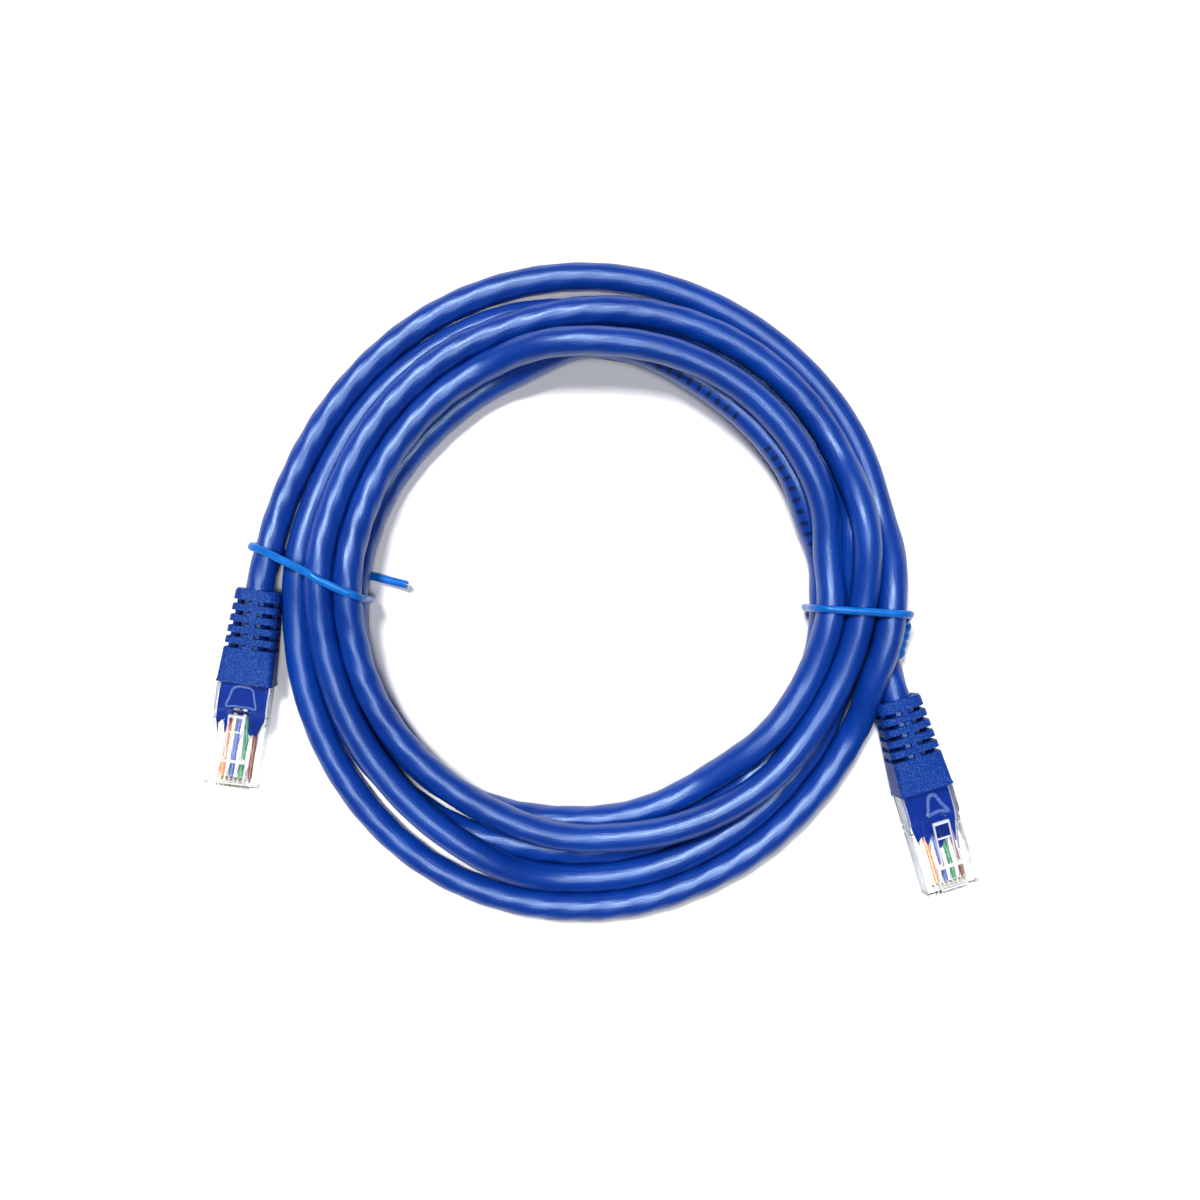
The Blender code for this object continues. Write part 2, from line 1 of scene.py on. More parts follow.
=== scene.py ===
"""Looks of a coiled ethernet patch cable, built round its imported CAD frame.

The jacketed cable is one settled line swept into a tube. The boots, clear plugs, blue inner moulds, latches
and insulated wires are built in each plug's own frame and put where the CAD puts them. The ties are drawn
round the settled cable. All lengths are in metres, with +Z up from the surface that the cable lies on.
"""

import json
import logging
import math
from collections.abc import Callable, Iterable, Sequence
from dataclasses import dataclass, field
from enum import Enum

import bmesh
import bpy
import numpy as np
from mathutils import Matrix, Vector

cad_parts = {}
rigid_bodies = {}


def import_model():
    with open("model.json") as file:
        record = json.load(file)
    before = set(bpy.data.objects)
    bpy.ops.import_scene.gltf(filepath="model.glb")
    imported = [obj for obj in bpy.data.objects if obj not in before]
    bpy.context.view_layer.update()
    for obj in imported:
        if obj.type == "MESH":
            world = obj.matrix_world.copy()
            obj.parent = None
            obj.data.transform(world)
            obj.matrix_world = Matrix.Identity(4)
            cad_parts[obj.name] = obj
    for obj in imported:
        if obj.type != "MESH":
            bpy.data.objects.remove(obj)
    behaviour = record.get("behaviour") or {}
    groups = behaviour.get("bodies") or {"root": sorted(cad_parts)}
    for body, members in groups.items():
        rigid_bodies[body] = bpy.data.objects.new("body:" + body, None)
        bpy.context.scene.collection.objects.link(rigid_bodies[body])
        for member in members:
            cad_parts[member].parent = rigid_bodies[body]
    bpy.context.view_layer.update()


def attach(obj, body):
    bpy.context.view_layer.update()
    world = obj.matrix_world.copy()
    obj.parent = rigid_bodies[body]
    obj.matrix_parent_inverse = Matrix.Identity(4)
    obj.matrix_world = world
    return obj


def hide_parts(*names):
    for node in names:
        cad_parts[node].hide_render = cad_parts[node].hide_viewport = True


LOG = logging.getLogger("patch_cable")
MM = 0.001
GAP = 0.3 * MM
CABLE_RADIUS = 3.2 * MM
BOOT_LENGTH = 21.0 * MM
JOINT = BOOT_LENGTH + GAP
NOSE = JOINT + 22.9 * MM
CONTACTS = range(1, 9)

Colour = tuple[float, float, float]
Point = tuple[float, float, float]
Flat = tuple[float, float]
Radius = Callable[[np.ndarray, np.ndarray], np.ndarray]


class Tag(Enum):
    """Which end of the cable a plug is on."""

    A = "a"
    B = "b"


# ----------------------------------------
# Node trees


class Tree:
    """A node tree with short calls for adding and linking its nodes."""

    def __init__(self, tree: bpy.types.NodeTree) -> None:
        """Keep the tree that the calls add to."""
        self.tree = tree

    def node(self, kind: str, settings: dict | None = None, **inputs: object) -> bpy.types.Node:
        """Add a node.

        Args:
            kind: The node's type name.
            settings: Properties to set on the node before its inputs.
            inputs: Values or sockets for its inputs, with spaces written as underscores.

        Returns:
            The new node.
        """
        made = self.tree.nodes.new(kind)
        for key, value in (settings or {}).items():
            setattr(made, key, value)
        for key, value in inputs.items():
            self.feed(made.inputs[key.replace("_", " ")], value)
        return made

    def feed(self, socket: bpy.types.NodeSocket, value: object) -> None:
        """Link a socket to another, or set its plain value.

        Args:
            socket: The input to fill.
            value: A socket, a number, or a colour with or without its alpha.
        """
        if isinstance(value, bpy.types.NodeSocket):
            self.tree.links.new(value, socket)
        else:
            opaque = socket.type == "RGBA" and len(value) == 3
            socket.default_value = (*value, 1.0) if opaque else value

    def math(self, operation: str, *values: object, clamp: bool = False) -> bpy.types.NodeSocket:
        """Add a Math node.

        Args:
            operation: The node's operation.
            values: Numbers or sockets for its inputs, in order.
            clamp: Whether the result is kept from 0 to 1.

        Returns:
            The node's result.
        """
        made = self.node("ShaderNodeMath", {"operation": operation, "use_clamp": clamp})
        for socket, value in zip(made.inputs, values):
            self.feed(socket, value)
        return made.outputs[0]

    def mix(self, share: object, first: object, second: object) -> bpy.types.NodeSocket:
        """Mix two colours.

        Args:
            share: How much of the second colour shows, from 0 to 1.
            first: The colour at share 0.
            second: The colour at share 1.

        Returns:
            The mixed colour.
        """
        made = self.node("ShaderNodeMix", {"data_type": "RGBA"})
        for index, value in ((0, share), (6, first), (7, second)):
            self.feed(made.inputs[index], value)
        return made.outputs[2]

    def span(self, value: object, to: Flat, low: float = 0.0, high: float = 1.0) -> bpy.types.NodeSocket:
        """Map one range of values onto another.

        Args:
            value: The value to map.
            to: What the range's start and end become.
            low: The range's start.
            high: The range's end.

        Returns:
            The mapped value, kept inside its new range.
        """
        made = self.node("ShaderNodeMapRange")
        for index, number in enumerate((value, low, high, *to)):
            self.feed(made.inputs[index], number)
        return made.outputs[0]

    def between(self, value: object, band: Flat) -> bpy.types.NodeSocket:
        """Return a mask that is 1 where a value lies inside a band."""
        above = self.math("GREATER_THAN", value, band[0])
        return self.math("MULTIPLY", above, self.math("LESS_THAN", value, band[1]))

    def lay(self) -> bpy.types.NodeSocket:
        """Return a swept piece's own measure: distance along it and share of a turn around it."""
        return self.node("ShaderNodeAttribute", {"attribute_name": "lay"}).outputs["Vector"]


def new_group(
    name: str, inputs: dict[str, float], outputs: Sequence[str]
) -> tuple[Tree, bpy.types.Node, bpy.types.Node]:
    """Start a shader node group.

    Args:
        name: The group's name.
        inputs: Its number inputs and their usual values.
        outputs: Its number outputs.

    Returns:
        Its tree, its input node and its output node.
    """
    group = bpy.data.node_groups.new(name, "ShaderNodeTree")
    for key, value in inputs.items():
        socket = group.interface.new_socket(key, in_out="INPUT", socket_type="NodeSocketFloat")
        socket.default_value = value
    for key in outputs:
        group.interface.new_socket(key, in_out="OUTPUT", socket_type="NodeSocketFloat")
    tree = Tree(group)
    return tree, tree.node("NodeGroupInput"), tree.node("NodeGroupOutput")


def grain_group() -> bpy.types.NodeTree:
    """Build the grain that moulded and extruded plastic shares: fine pits and a slow unevenness.

    Returns:
        A group with a fine grain and a slow drift, both from 0 to 1.
    """
    scales = {"Fine Scale": 3000.0, "Slow Scale": 90.0}
    tree, given, made = new_group("plastic_grain", scales, ("Fine", "Slow"))
    place = tree.node("ShaderNodeTexCoord").outputs["Object"]
    for name, detail in (("Fine", 3.0), ("Slow", 2.0)):
        scale = given.outputs[f"{name} Scale"]
        noise = tree.node("ShaderNodeTexNoise", Vector=place, Scale=scale, Detail=detail)
        tree.feed(made.inputs[name], tree.span(noise.outputs[0], (0.0, 1.0), 0.3, 0.7))
    return tree.tree


def speck_group() -> bpy.types.NodeTree:
    """Build scattered round specks, for dust and for painted glints, the bright points of painted highlight
    on a spark-eroded surface.

    Returns:
        A group with a mask of specks from 0 to 1.
    """
    tree, given, made = new_group("specks", {"Scale": 1500.0, "Size": 0.25}, ("Mask",))
    place = tree.node("ShaderNodeTexCoord").outputs["Object"]
    cells = tree.node("ShaderNodeTexVoronoi", Vector=place, Scale=given.outputs["Scale"])
    inside = tree.math("SUBTRACT", given.outputs["Size"], cells.outputs["Distance"])
    hardness = 8.0
    tree.feed(made.inputs["Mask"], tree.math("MULTIPLY", inside, hardness, clamp=True))
    return tree.tree


class Groups:
    """The node groups that several finishes use, each built once."""

    def __init__(self) -> None:
        """Build the groups."""
        self.grain = grain_group()
        self.specks = speck_group()


@dataclass(frozen=True)
class Brush:
    """What a finish paints with: its material's tree and shader, and the shared groups."""

    tree: Tree
    shader: bpy.types.Node
    groups: Groups

    def grain(self, fine: float, slow: float) -> Sequence[bpy.types.NodeSocket]:
        """Place the grain.

        Args:
            fine: The fine grain's scale.
            slow: The slow drift's scale.

        Returns:
            The fine grain and the slow drift.
        """
        settings = {"node_tree": self.groups.grain}
        return self.tree.node("ShaderNodeGroup", settings, Fine_Scale=fine, Slow_Scale=slow).outputs

    def specks(self, scale: float, size: float) -> bpy.types.NodeSocket:
        """Place the specks and return their mask."""
        made = self.tree.node("ShaderNodeGroup", {"node_tree": self.groups.specks}, Scale=scale, Size=size)
        return made.outputs["Mask"]

    def surface(self, colour: object, rough: object, spread: Flat) -> None:
        """Feed the shader's colour and roughness.

        Args:
            colour: The colour.
            rough: A pattern from 0 to 1.
            spread: The roughness at 0 and at 1.
        """
        self.tree.feed(self.shader.inputs["Base Color"], colour)
        self.tree.feed(self.shader.inputs["Roughness"], self.tree.span(rough, spread))

    def bump(self, height: object, strength: float, depth: float) -> None:
        """Raise a pattern on the surface.

        Args:
            height: The pattern, from 0 to 1.
            strength: How strongly it shows.
            depth: How deep it is, in metres.
        """
        made = self.tree.node("ShaderNodeBump", Strength=strength, Distance=depth, Height=height)
        self.tree.feed(self.shader.inputs["Normal"], made.outputs[0])

    def gleam(self, level: float, tint: Colour) -> None:
        """Set how much the surface reflects, and in what colour."""
        self.shader.inputs["Specular IOR Level"].default_value = level
        self.shader.inputs["Specular Tint"].default_value = (*tint, 1.0)


@dataclass(frozen=True)
class Finish:
    """A finish: what the record calls it, and how its material is made."""

    name: str
    slot: str

    def make(self, groups: Groups) -> bpy.types.Material:
        """Make the material.

        Args:
            groups: The shared node groups.

        Returns:
            The material.
        """
        made = bpy.data.materials.new(self.name)
        made.use_nodes = True
        self.paint(Brush(Tree(made.node_tree), made.node_tree.nodes["Principled BSDF"], groups))
        return made

    def paint(self, brush: Brush) -> None:
        """Feed the shader; each finish has its own way."""
        raise NotImplementedError


@dataclass(frozen=True)
class JacketFinish(Finish):
    """Extruded soft jacket with a waxy gloss, faint dust and a row of plain ticks along it."""

    deep: Colour = (0.0003, 0.026, 0.232)
    pale: Colour = (0.0005, 0.039, 0.308)
    ink: Colour = (0.001, 0.006, 0.040)
    ink_cover: float = 0.85
    dust: Colour = (0.22, 0.36, 0.70)
    dust_cover: float = 0.16
    roughness: Flat = (0.28, 0.40)
    printed: bool = True
    tick_pitch: float = 2.6 * MM
    tick_share: float = 0.34
    tick_band: Flat = (0.16, 0.27)
    tick_run: Flat = (1.634, 1.702)
    ticks_missing: float = 0.2

    def ticks(self, tree: Tree) -> bpy.types.NodeSocket:
        """Make the mask of the printed ticks.

        Args:
            tree: The material's tree.

        Returns:
            The mask, 1 on ink.
        """
        parts = tree.node("ShaderNodeSeparateXYZ", Vector=tree.lay())
        along, around = parts.outputs[0], parts.outputs[1]
        steps = tree.math("DIVIDE", along, self.tick_pitch)
        on_step = tree.math("LESS_THAN", tree.math("FRACT", steps), self.tick_share)
        on_side, on_run = tree.between(around, self.tick_band), tree.between(along, self.tick_run)
        on_band = tree.math("MULTIPLY", on_side, on_run)
        chance = tree.node("ShaderNodeTexWhiteNoise", {"noise_dimensions": "1D"}, W=tree.math("FLOOR", steps))
        kept = tree.math("GREATER_THAN", chance.outputs["Value"], self.ticks_missing)
        return tree.math("MULTIPLY", tree.math("MULTIPLY", on_step, on_band), kept)

    def drawn_lines(self, tree: Tree) -> bpy.types.NodeSocket:
        """Make the faint lines that the jacket's die leaves along the cable.

        Args:
            tree: The material's tree.

        Returns:
            Their height, from 0 to 1.
        """
        drawn = tree.node("ShaderNodeVectorMath", {"operation": "MULTIPLY"})
        tree.feed(drawn.inputs[0], tree.lay())
        drawn.inputs[1].default_value = (160.0, 44.0, 0.0)
        lines = tree.node("ShaderNodeTexNoise", Vector=drawn.outputs[0], Scale=1.0, Detail=2.0)
        return tree.span(lines.outputs[0], (0.0, 1.0), 0.35, 0.65)

    def paint(self, brush: Brush) -> None:
        """Feed the shader: two blues, dust, ink, fine grain and drawn lines.

        Args:
            brush: What it paints with.
        """
        tree = brush.tree
        fine, slow = brush.grain(fine=4200.0, slow=60.0)
        dust = tree.math("MULTIPLY", brush.specks(scale=700.0, size=0.08), self.dust_cover)
        colour = tree.mix(dust, tree.mix(slow, self.deep, self.pale), self.dust)
        if self.printed:
            colour = tree.mix(tree.math("MULTIPLY", self.ticks(tree), self.ink_cover), colour, self.ink)
        brush.surface(colour, fine, self.roughness)
        brush.bump(tree.math("ADD", fine, self.drawn_lines(tree)), strength=0.42, depth=0.04 * MM)
        brush.gleam(level=0.88, tint=(0.56, 0.78, 1.0))


@dataclass(frozen=True)
class BootFinish(Finish):
    """Soft moulding with a spark-eroded surface: fine pits painted darker as painted shade, with painted
    glints between them, bright points of painted highlight.
    """

    deep: Colour = (0.0005, 0.018, 0.180)
    pale: Colour = (0.0016, 0.037, 0.270)
    # The painted glints' colour: bright points of painted highlight.
    point: Colour = (0.110, 0.300, 0.820)
    glint_cover: float = 0.75

    def paint(self, brush: Brush) -> None:
        """Feed the shader: pits darkened with painted shade, painted glints and a dull gloss.

        Args:
            brush: What it paints with.
        """
        tree = brush.tree
        fine, slow = brush.grain(fine=3600.0, slow=120.0)
        # Painted glints between the pits. The grain below them is darker where its bump sinks, which is
        # painted shade in the pits.
        points = tree.math("MULTIPLY", brush.specks(scale=3300.0, size=0.28), self.glint_cover)
        colour = tree.mix(points, tree.mix(fine, self.deep, self.pale), self.point)
        brush.surface(colour, slow, spread=(0.46, 0.58))
        brush.bump(fine, strength=0.60, depth=0.07 * MM)
        brush.gleam(level=0.25, tint=(0.45, 0.70, 1.0))


@dataclass(frozen=True)
class GlossFinish(Finish):
    """Plain coloured plastic with a soft unevenness, for the mould and the tie's coating."""

    deep: Colour
    pale: Colour
    roughness: Flat = (0.40, 0.55)
    gloss: float = 0.08

    def paint(self, brush: Brush) -> None:
        """Feed the shader: two close colours that drift into each other.

        Args:
            brush: What it paints with.
        """
        tree = brush.tree
        fine, slow = brush.grain(fine=2500.0, slow=400.0)
        brush.surface(tree.mix(slow, self.deep, self.pale), slow, self.roughness)
        brush.bump(fine, strength=0.15, depth=0.05 * MM)
        brush.gleam(level=self.gloss, tint=(0.50, 0.75, 1.0))


@dataclass(frozen=True)
class WireFinish(Finish):
    """Wire insulation: a base colour with an optional spiral stripe."""

    base: Colour
    stripe: Colour | None = None
    shade: float = 0.82
    stripe_pitch: float = 9.0 * MM
    stripe_share: float = 0.17
    stripe_cover: float = 0.8

    def paint(self, brush: Brush) -> None:
        """Feed the shader: the base colour, and the stripe where there is one.

        Args:
            brush: What it paints with.
        """
        tree = brush.tree
        fine, slow = brush.grain(fine=2500.0, slow=500.0)
        colour = tree.mix(slow, tuple(self.shade * c for c in self.base), self.base)
        if self.stripe is not None:
            parts = tree.node("ShaderNodeSeparateXYZ", Vector=tree.lay())
            run = tree.math("DIVIDE", parts.outputs[0], self.stripe_pitch)
            turn = tree.math("ADD", run, parts.outputs[1])
            on = tree.math("LESS_THAN", tree.math("FRACT", turn), self.stripe_share)
            colour = tree.mix(tree.math("MULTIPLY", on, self.stripe_cover), colour, self.stripe)
        brush.surface(colour, fine, spread=(0.35, 0.45))


@dataclass(frozen=True)
class ClearFinish(Finish):
    """Clear moulded plastic. Light passes straight through it, so what is inside stays lit."""

    tint: Colour = (0.955, 0.958, 0.95)
    roughness: Flat = (0.01, 0.05)
    shadow: Colour = (0.90, 0.91, 0.92)

    def paint(self, brush: Brush) -> None:
        """Feed the shader, and let shadow rays through it.

        Args:
            brush: What it paints with.
        """
        tree = brush.tree
        _, slow = brush.grain(fine=1200.0, slow=260.0)
        brush.shader.inputs["Transmission Weight"].default_value = 1.0
        brush.shader.inputs["IOR"].default_value = 1.5
        brush.surface(self.tint, slow, self.roughness)
        brush.bump(slow, strength=0.10, depth=0.08 * MM)
        path = tree.node("ShaderNodeLightPath")
        through = tree.node("ShaderNodeBsdfTransparent", Color=self.shadow)
        mixed = tree.node("ShaderNodeMixShader")
        parts = (path.outputs["Is Shadow Ray"], brush.shader.outputs[0], through.outputs[0])
        for socket, part in zip(mixed.inputs, parts):
            tree.feed(socket, part)
        tree.feed(tree.tree.nodes["Material Output"].inputs["Surface"], mixed.outputs[0])


@dataclass(frozen=True)
class PaintedLightFinish(Finish):
    """Painted light on clear plastic: a pale colour for where an edge or a rib gathers light and looks white.
    """

    tint: Colour = (0.92, 0.94, 0.97)
    alpha: float = 0.66
    shade: float = 0.9

    def paint(self, brush: Brush) -> None:
        """Feed the shader: a pale tint of painted light that lets part of what is below show.

        Args:
            brush: What it paints with.
        """
        tree = brush.tree
        fine, slow = brush.grain(fine=1500.0, slow=500.0)
        colour = tree.mix(slow, tuple(self.shade * c for c in self.tint), self.tint)
        brush.surface(colour, fine, spread=(0.12, 0.28))
        brush.shader.inputs["Alpha"].default_value = self.alpha


@dataclass(frozen=True)
class MetalFinish(Finish):
    """Plated metal with a slight haze."""

    base: Colour = (0.83, 0.62, 0.22)
    dull: Colour = (0.60, 0.42, 0.15)

    def paint(self, brush: Brush) -> None:
        """Feed the shader: bright metal that drifts into dull.

        Args:
            brush: What it paints with.
        """
        tree = brush.tree
        fine, slow = brush.grain(fine=2500.0, slow=700.0)
        brush.surface(tree.mix(slow, self.dull, self.base), fine, spread=(0.22, 0.38))
        brush.shader.inputs["Metallic"].default_value = 1.0


WHITE = (0.84, 0.84, 0.82)
ORANGE = (0.72, 0.17, 0.055)
GREEN = (0.035, 0.19, 0.085)
BLUE = (0.055, 0.085, 0.32)
BROWN = (0.16, 0.05, 0.035)
WIRE_COLOURS: tuple[tuple[str, Colour, Colour | None], ...] = (
    ("white_orange", WHITE, ORANGE),
    ("orange", ORANGE, None),
    ("white_green", WHITE, GREEN),
    ("blue", BLUE, None),
    ("white_blue", WHITE, BLUE),
    ("green", GREEN, None),
    ("white_brown", WHITE, BROWN),
    ("brown", BROWN, None),
)
WIRES = tuple(WireFinish(f"wire_{name}", f"wire_{name}", *colours) for name, *colours in WIRE_COLOURS)


class Finishes:
    """Every finish of the cable, made once and looked up by name."""

    def __init__(self) -> None:
        """Make the materials."""
        groups = Groups()
        kinds: tuple[Finish, ...] = (
            JacketFinish("cable_jacket", "jacket"),
            JacketFinish("jacket_inside_boot", "jacket", printed=False),
            BootFinish("eroded_boot", "boot"),
            GlossFinish("inner_mould", "mould", (0.0004, 0.012, 0.155), (0.0006, 0.017, 0.195)),
            GlossFinish(
                "tie_coating", "tie", (0.002, 0.112, 0.470), (0.004, 0.150, 0.580), (0.26, 0.38), gloss=0.5
            ),
            ClearFinish("clear_plastic", "clear"),
            # Painted light: the pale lines that the latch's rim and the strain relief's edges show in the
            # clear plastic.
            PaintedLightFinish("painted_edge_light", "clear"),
            # Painted shade: the grey-blue that the shell's clear side walls show edge-on, with the mould's
            # blue painted in; the walls are also rougher.
            ClearFinish("painted_shade_side", "clear", (0.66, 0.74, 0.86), (0.22, 0.60)),
            PaintedLightFinish("painted_rib_light", "clear", (0.30, 0.47, 0.90), 0.13),
            MetalFinish("gold_plating", "gold"),
            MetalFinish("steel_core", "tie", (0.55, 0.56, 0.58), (0.36, 0.36, 0.38)),
            *WIRES,
        )
        self.made = {kind.name: kind.make(groups) for kind in kinds}
        self.slots = {kind.name: kind.slot for kind in kinds}

    def dress(self, piece: bpy.types.Object, *names: str) -> None:
        """Give a piece its materials.

        Args:
            piece: The piece to dress.
            names: The finishes, in the order of the mesh's material indices.
        """
        for name in names:
            piece.data.materials.append(self.made[name])

    def repaint(self, node: str, name: str) -> None:
        """Give a kept CAD node a better material.

        Args:
            node: The CAD node's name.
            name: The finish.
        """
        shown = bpy.data.objects[node]
        for slot in shown.material_slots:
            slot.material = self.made[name]


# ----------------------------------------
# Mesh helpers


@dataclass(frozen=True)
class Place:
    """Where the cable enters a plug's boot, and the plug's turn about Z and roll about its own length."""

    tag: Tag
    at: Point
    turn: float
    roll: float

    def matrix(self) -> Matrix:
        """Make the turn from the plug's own frame to the cable's.

        Returns:
            The matrix.
        """
        turned = Matrix.Rotation(math.radians(self.turn), 4, "Z")
        rolled = Matrix.Rotation(math.radians(self.roll), 4, "Y")
        return Matrix.Translation(self.at) @ (turned @ rolled)

    def point(self, x: float, y: float, z: float) -> np.ndarray:
        """Return a point of the plug's own frame in the cable's."""
        return np.array(self.matrix() @ Vector((x, y, z)))


PLACES = (
    Place(Tag.A, (-74.4 * MM, 0.3 * MM, 5.4 * MM), 171.8, -5.0),
    Place(Tag.B, (67.9 * MM, -24.0 * MM, 5.4 * MM), 196.2, -5.0),
)


def placed(name: str, data: bpy.types.ID) -> bpy.types.Object:
    """Make an object from its data and add it to the scene.

    Args:
        name: The object's name.
        data: Its mesh, light or camera.

    Returns:
        The object, at the origin.
    """
    made = bpy.data.objects.new(name, data)
    bpy.context.scene.collection.objects.link(made)
    return made


def piece_from(bm: bmesh.types.BMesh, name: str) -> bpy.types.Object:
    """Turn a bmesh into a linked object that sits at the origin.

    Args:
        bm: The bmesh, which is freed.
        name: The object's name.

    Returns:
        The object.
    """
    bmesh.ops.recalc_face_normals(bm, faces=bm.faces)
    data = bpy.data.meshes.new(name)
    bm.to_mesh(data)
    bm.free()
    return placed(name, data)


def shade(piece: bpy.types.Object, angle: float = 35.0) -> None:
    """Shade a mesh smooth, with edges past an angle kept sharp."""
    piece.data.shade_smooth()
    piece.data.set_sharp_from_angle(angle=math.radians(angle))


def round_edges(piece: bpy.types.Object, width: float, segments: int = 2) -> None:
    """Round a piece's sharp edges with a live Bevel.

    Args:
        piece: The piece.
        width: How wide the rounding is.
        segments: How many facets it has.
    """
    bevel = piece.modifiers.new("rounded_edges", "BEVEL")
    bevel.width = width
    bevel.segments = segments
    bevel.limit_method = "ANGLE"
    bevel.angle_limit = math.radians(30)
    bevel.use_clamp_overlap = True
    bevel.harden_normals = True


def bridge(bm: bmesh.types.BMesh, first: Sequence[object], second: Sequence[object]) -> None:
    """Join two rings of vertices with a band of faces.

    Args:
        bm: The bmesh that they are in.
        first: One ring.
        second: The other, with the same number of vertices.
    """
    for k in range(len(first)):
        n = (k + 1) % len(first)
        bm.faces.new((first[k], first[n], second[n], second[k]))


def loft(bm: bmesh.types.BMesh, rings: Iterable[Sequence[Point]]) -> None:
    """Join closed rings of points into a capped solid.

    Args:
        bm: The bmesh to add to.
        rings: Rings with the same number of points.
    """
    made = [[bm.verts.new(p) for p in ring] for ring in rings]
    for first, second in zip(made, made[1:]):
        bridge(bm, first, second)
    bm.faces.new(made[0])
    bm.faces.new(made[-1])


def slab(bm: bmesh.types.BMesh, low: Point, high: Point) -> None:
    """Add a box between two corners to a bmesh."""
    flat = ((low[0], low[2]), (high[0], low[2]), (high[0], high[2]), (low[0], high[2]))
    loft(bm, [[(x, y, z) for x, z in flat] for y in (low[1], high[1])])


def cutter(name: str, boxes: Iterable[tuple[Point, Point]]) -> bpy.types.Object:
    """Make a solid to cut with.

    Args:
        name: Its name.
        boxes: The boxes it is made of, each given by two corners.

    Returns:
        The solid.
    """
    bm = bmesh.new()
    for low, high in boxes:
        slab(bm, low, high)
    return piece_from(bm, name)


def side_box(side: int, reach: Flat, run: Flat, level: Flat) -> tuple[Point, Point]:
    """Place a box on one side of a plug.

    Args:
        side: 1 or -1.
        reach: Its nearest and farthest distance from the plug's middle.
        run: Its start and end along the plug.
        level: Its lowest and highest height.

    Returns:
        Its two corners.
    """
    near, far = side * reach[0], side * reach[1]
    return (min(near, far), run[0], level[0]), (max(near, far), run[1], level[1])


def mirrored(half: Sequence[Flat]) -> tuple[Flat, ...]:
    """Complete the right half of an outline with its left half."""
    return (*half, *((-x, y) for x, y in reversed(half)))


def carve(piece: bpy.types.Object, cutters: Sequence[bpy.types.Object]) -> None:
    """Cut shapes out of a piece, apply the cuts and remove the cutters.

    Args:
        piece: The piece to cut.
        cutters: Closed solids to cut with.
    """
    for cutter in cutters:
        cut = piece.modifiers.new("carve", "BOOLEAN")
        cut.operation = "DIFFERENCE"
        cut.solver = "EXACT"
        cut.object = cutter
    bpy.context.view_layer.update()
    seen = piece.evaluated_get(bpy.context.evaluated_depsgraph_get())
    data = bpy.data.meshes.new_from_object(seen)
    piece.modifiers.clear()
    old = piece.data
    piece.data = data
    bpy.data.meshes.remove(old)
    for cutter in cutters:
        bpy.data.objects.remove(cutter, do_unlink=True)


def smooth_line(points: Sequence[Point] | np.ndarray, spacing: float) -> np.ndarray:
    """Run a natural cubic curve through points.

    Args:
        points: The points to pass through.
        spacing: About how far apart the returned points are.

    Returns:
        Evenly spaced points along the curve.
    """
    knots = np.asarray(points, float)
    at = np.r_[0.0, np.cumsum(np.linalg.norm(np.diff(knots, axis=0), axis=1))]
    step = np.diff(at)
    count = len(knots)
    left = np.eye(count)
    right = np.zeros_like(knots)
    for i in range(1, count - 1):
        left[i, i - 1], left[i, i], left[i, i + 1] = step[i - 1], 2 * (step[i - 1] + step[i]), step[i]
        right[i] = 3 * ((knots[i + 1] - knots[i]) / step[i] - (knots[i] - knots[i - 1]) / step[i - 1])
    bend = np.linalg.solve(left, right)
    wanted = np.linspace(0.0, at[-1], max(2, round(at[-1] / spacing) + 1))
    cell = np.clip(np.searchsorted(at, wanted, side="right") - 1, 0, count - 2)
    t = (wanted - at[cell])[:, None]
    h = step[cell][:, None]
    slope = (knots[cell + 1] - knots[cell]) / h - h * (2 * bend[cell] + bend[cell + 1]) / 3
    return knots[cell] + slope * t + bend[cell] * t**2 + (bend[cell + 1] - bend[cell]) / (3 * h) * t**3


def evenly(line: np.ndarray, spacing: float) -> np.ndarray:
    """Space points evenly along a fine line.

    Args:
        line: The line's points.
        spacing: About how far apart the returned points are.

    Returns:
        The evenly spaced points.
    """
    at = np.r_[0.0, np.cumsum(np.linalg.norm(np.diff(line, axis=0), axis=1))]
    wanted = np.linspace(0.0, at[-1], max(2, round(at[-1] / spacing) + 1))
    return np.stack([np.interp(wanted, at, line[:, k]) for k in range(3)], axis=1)


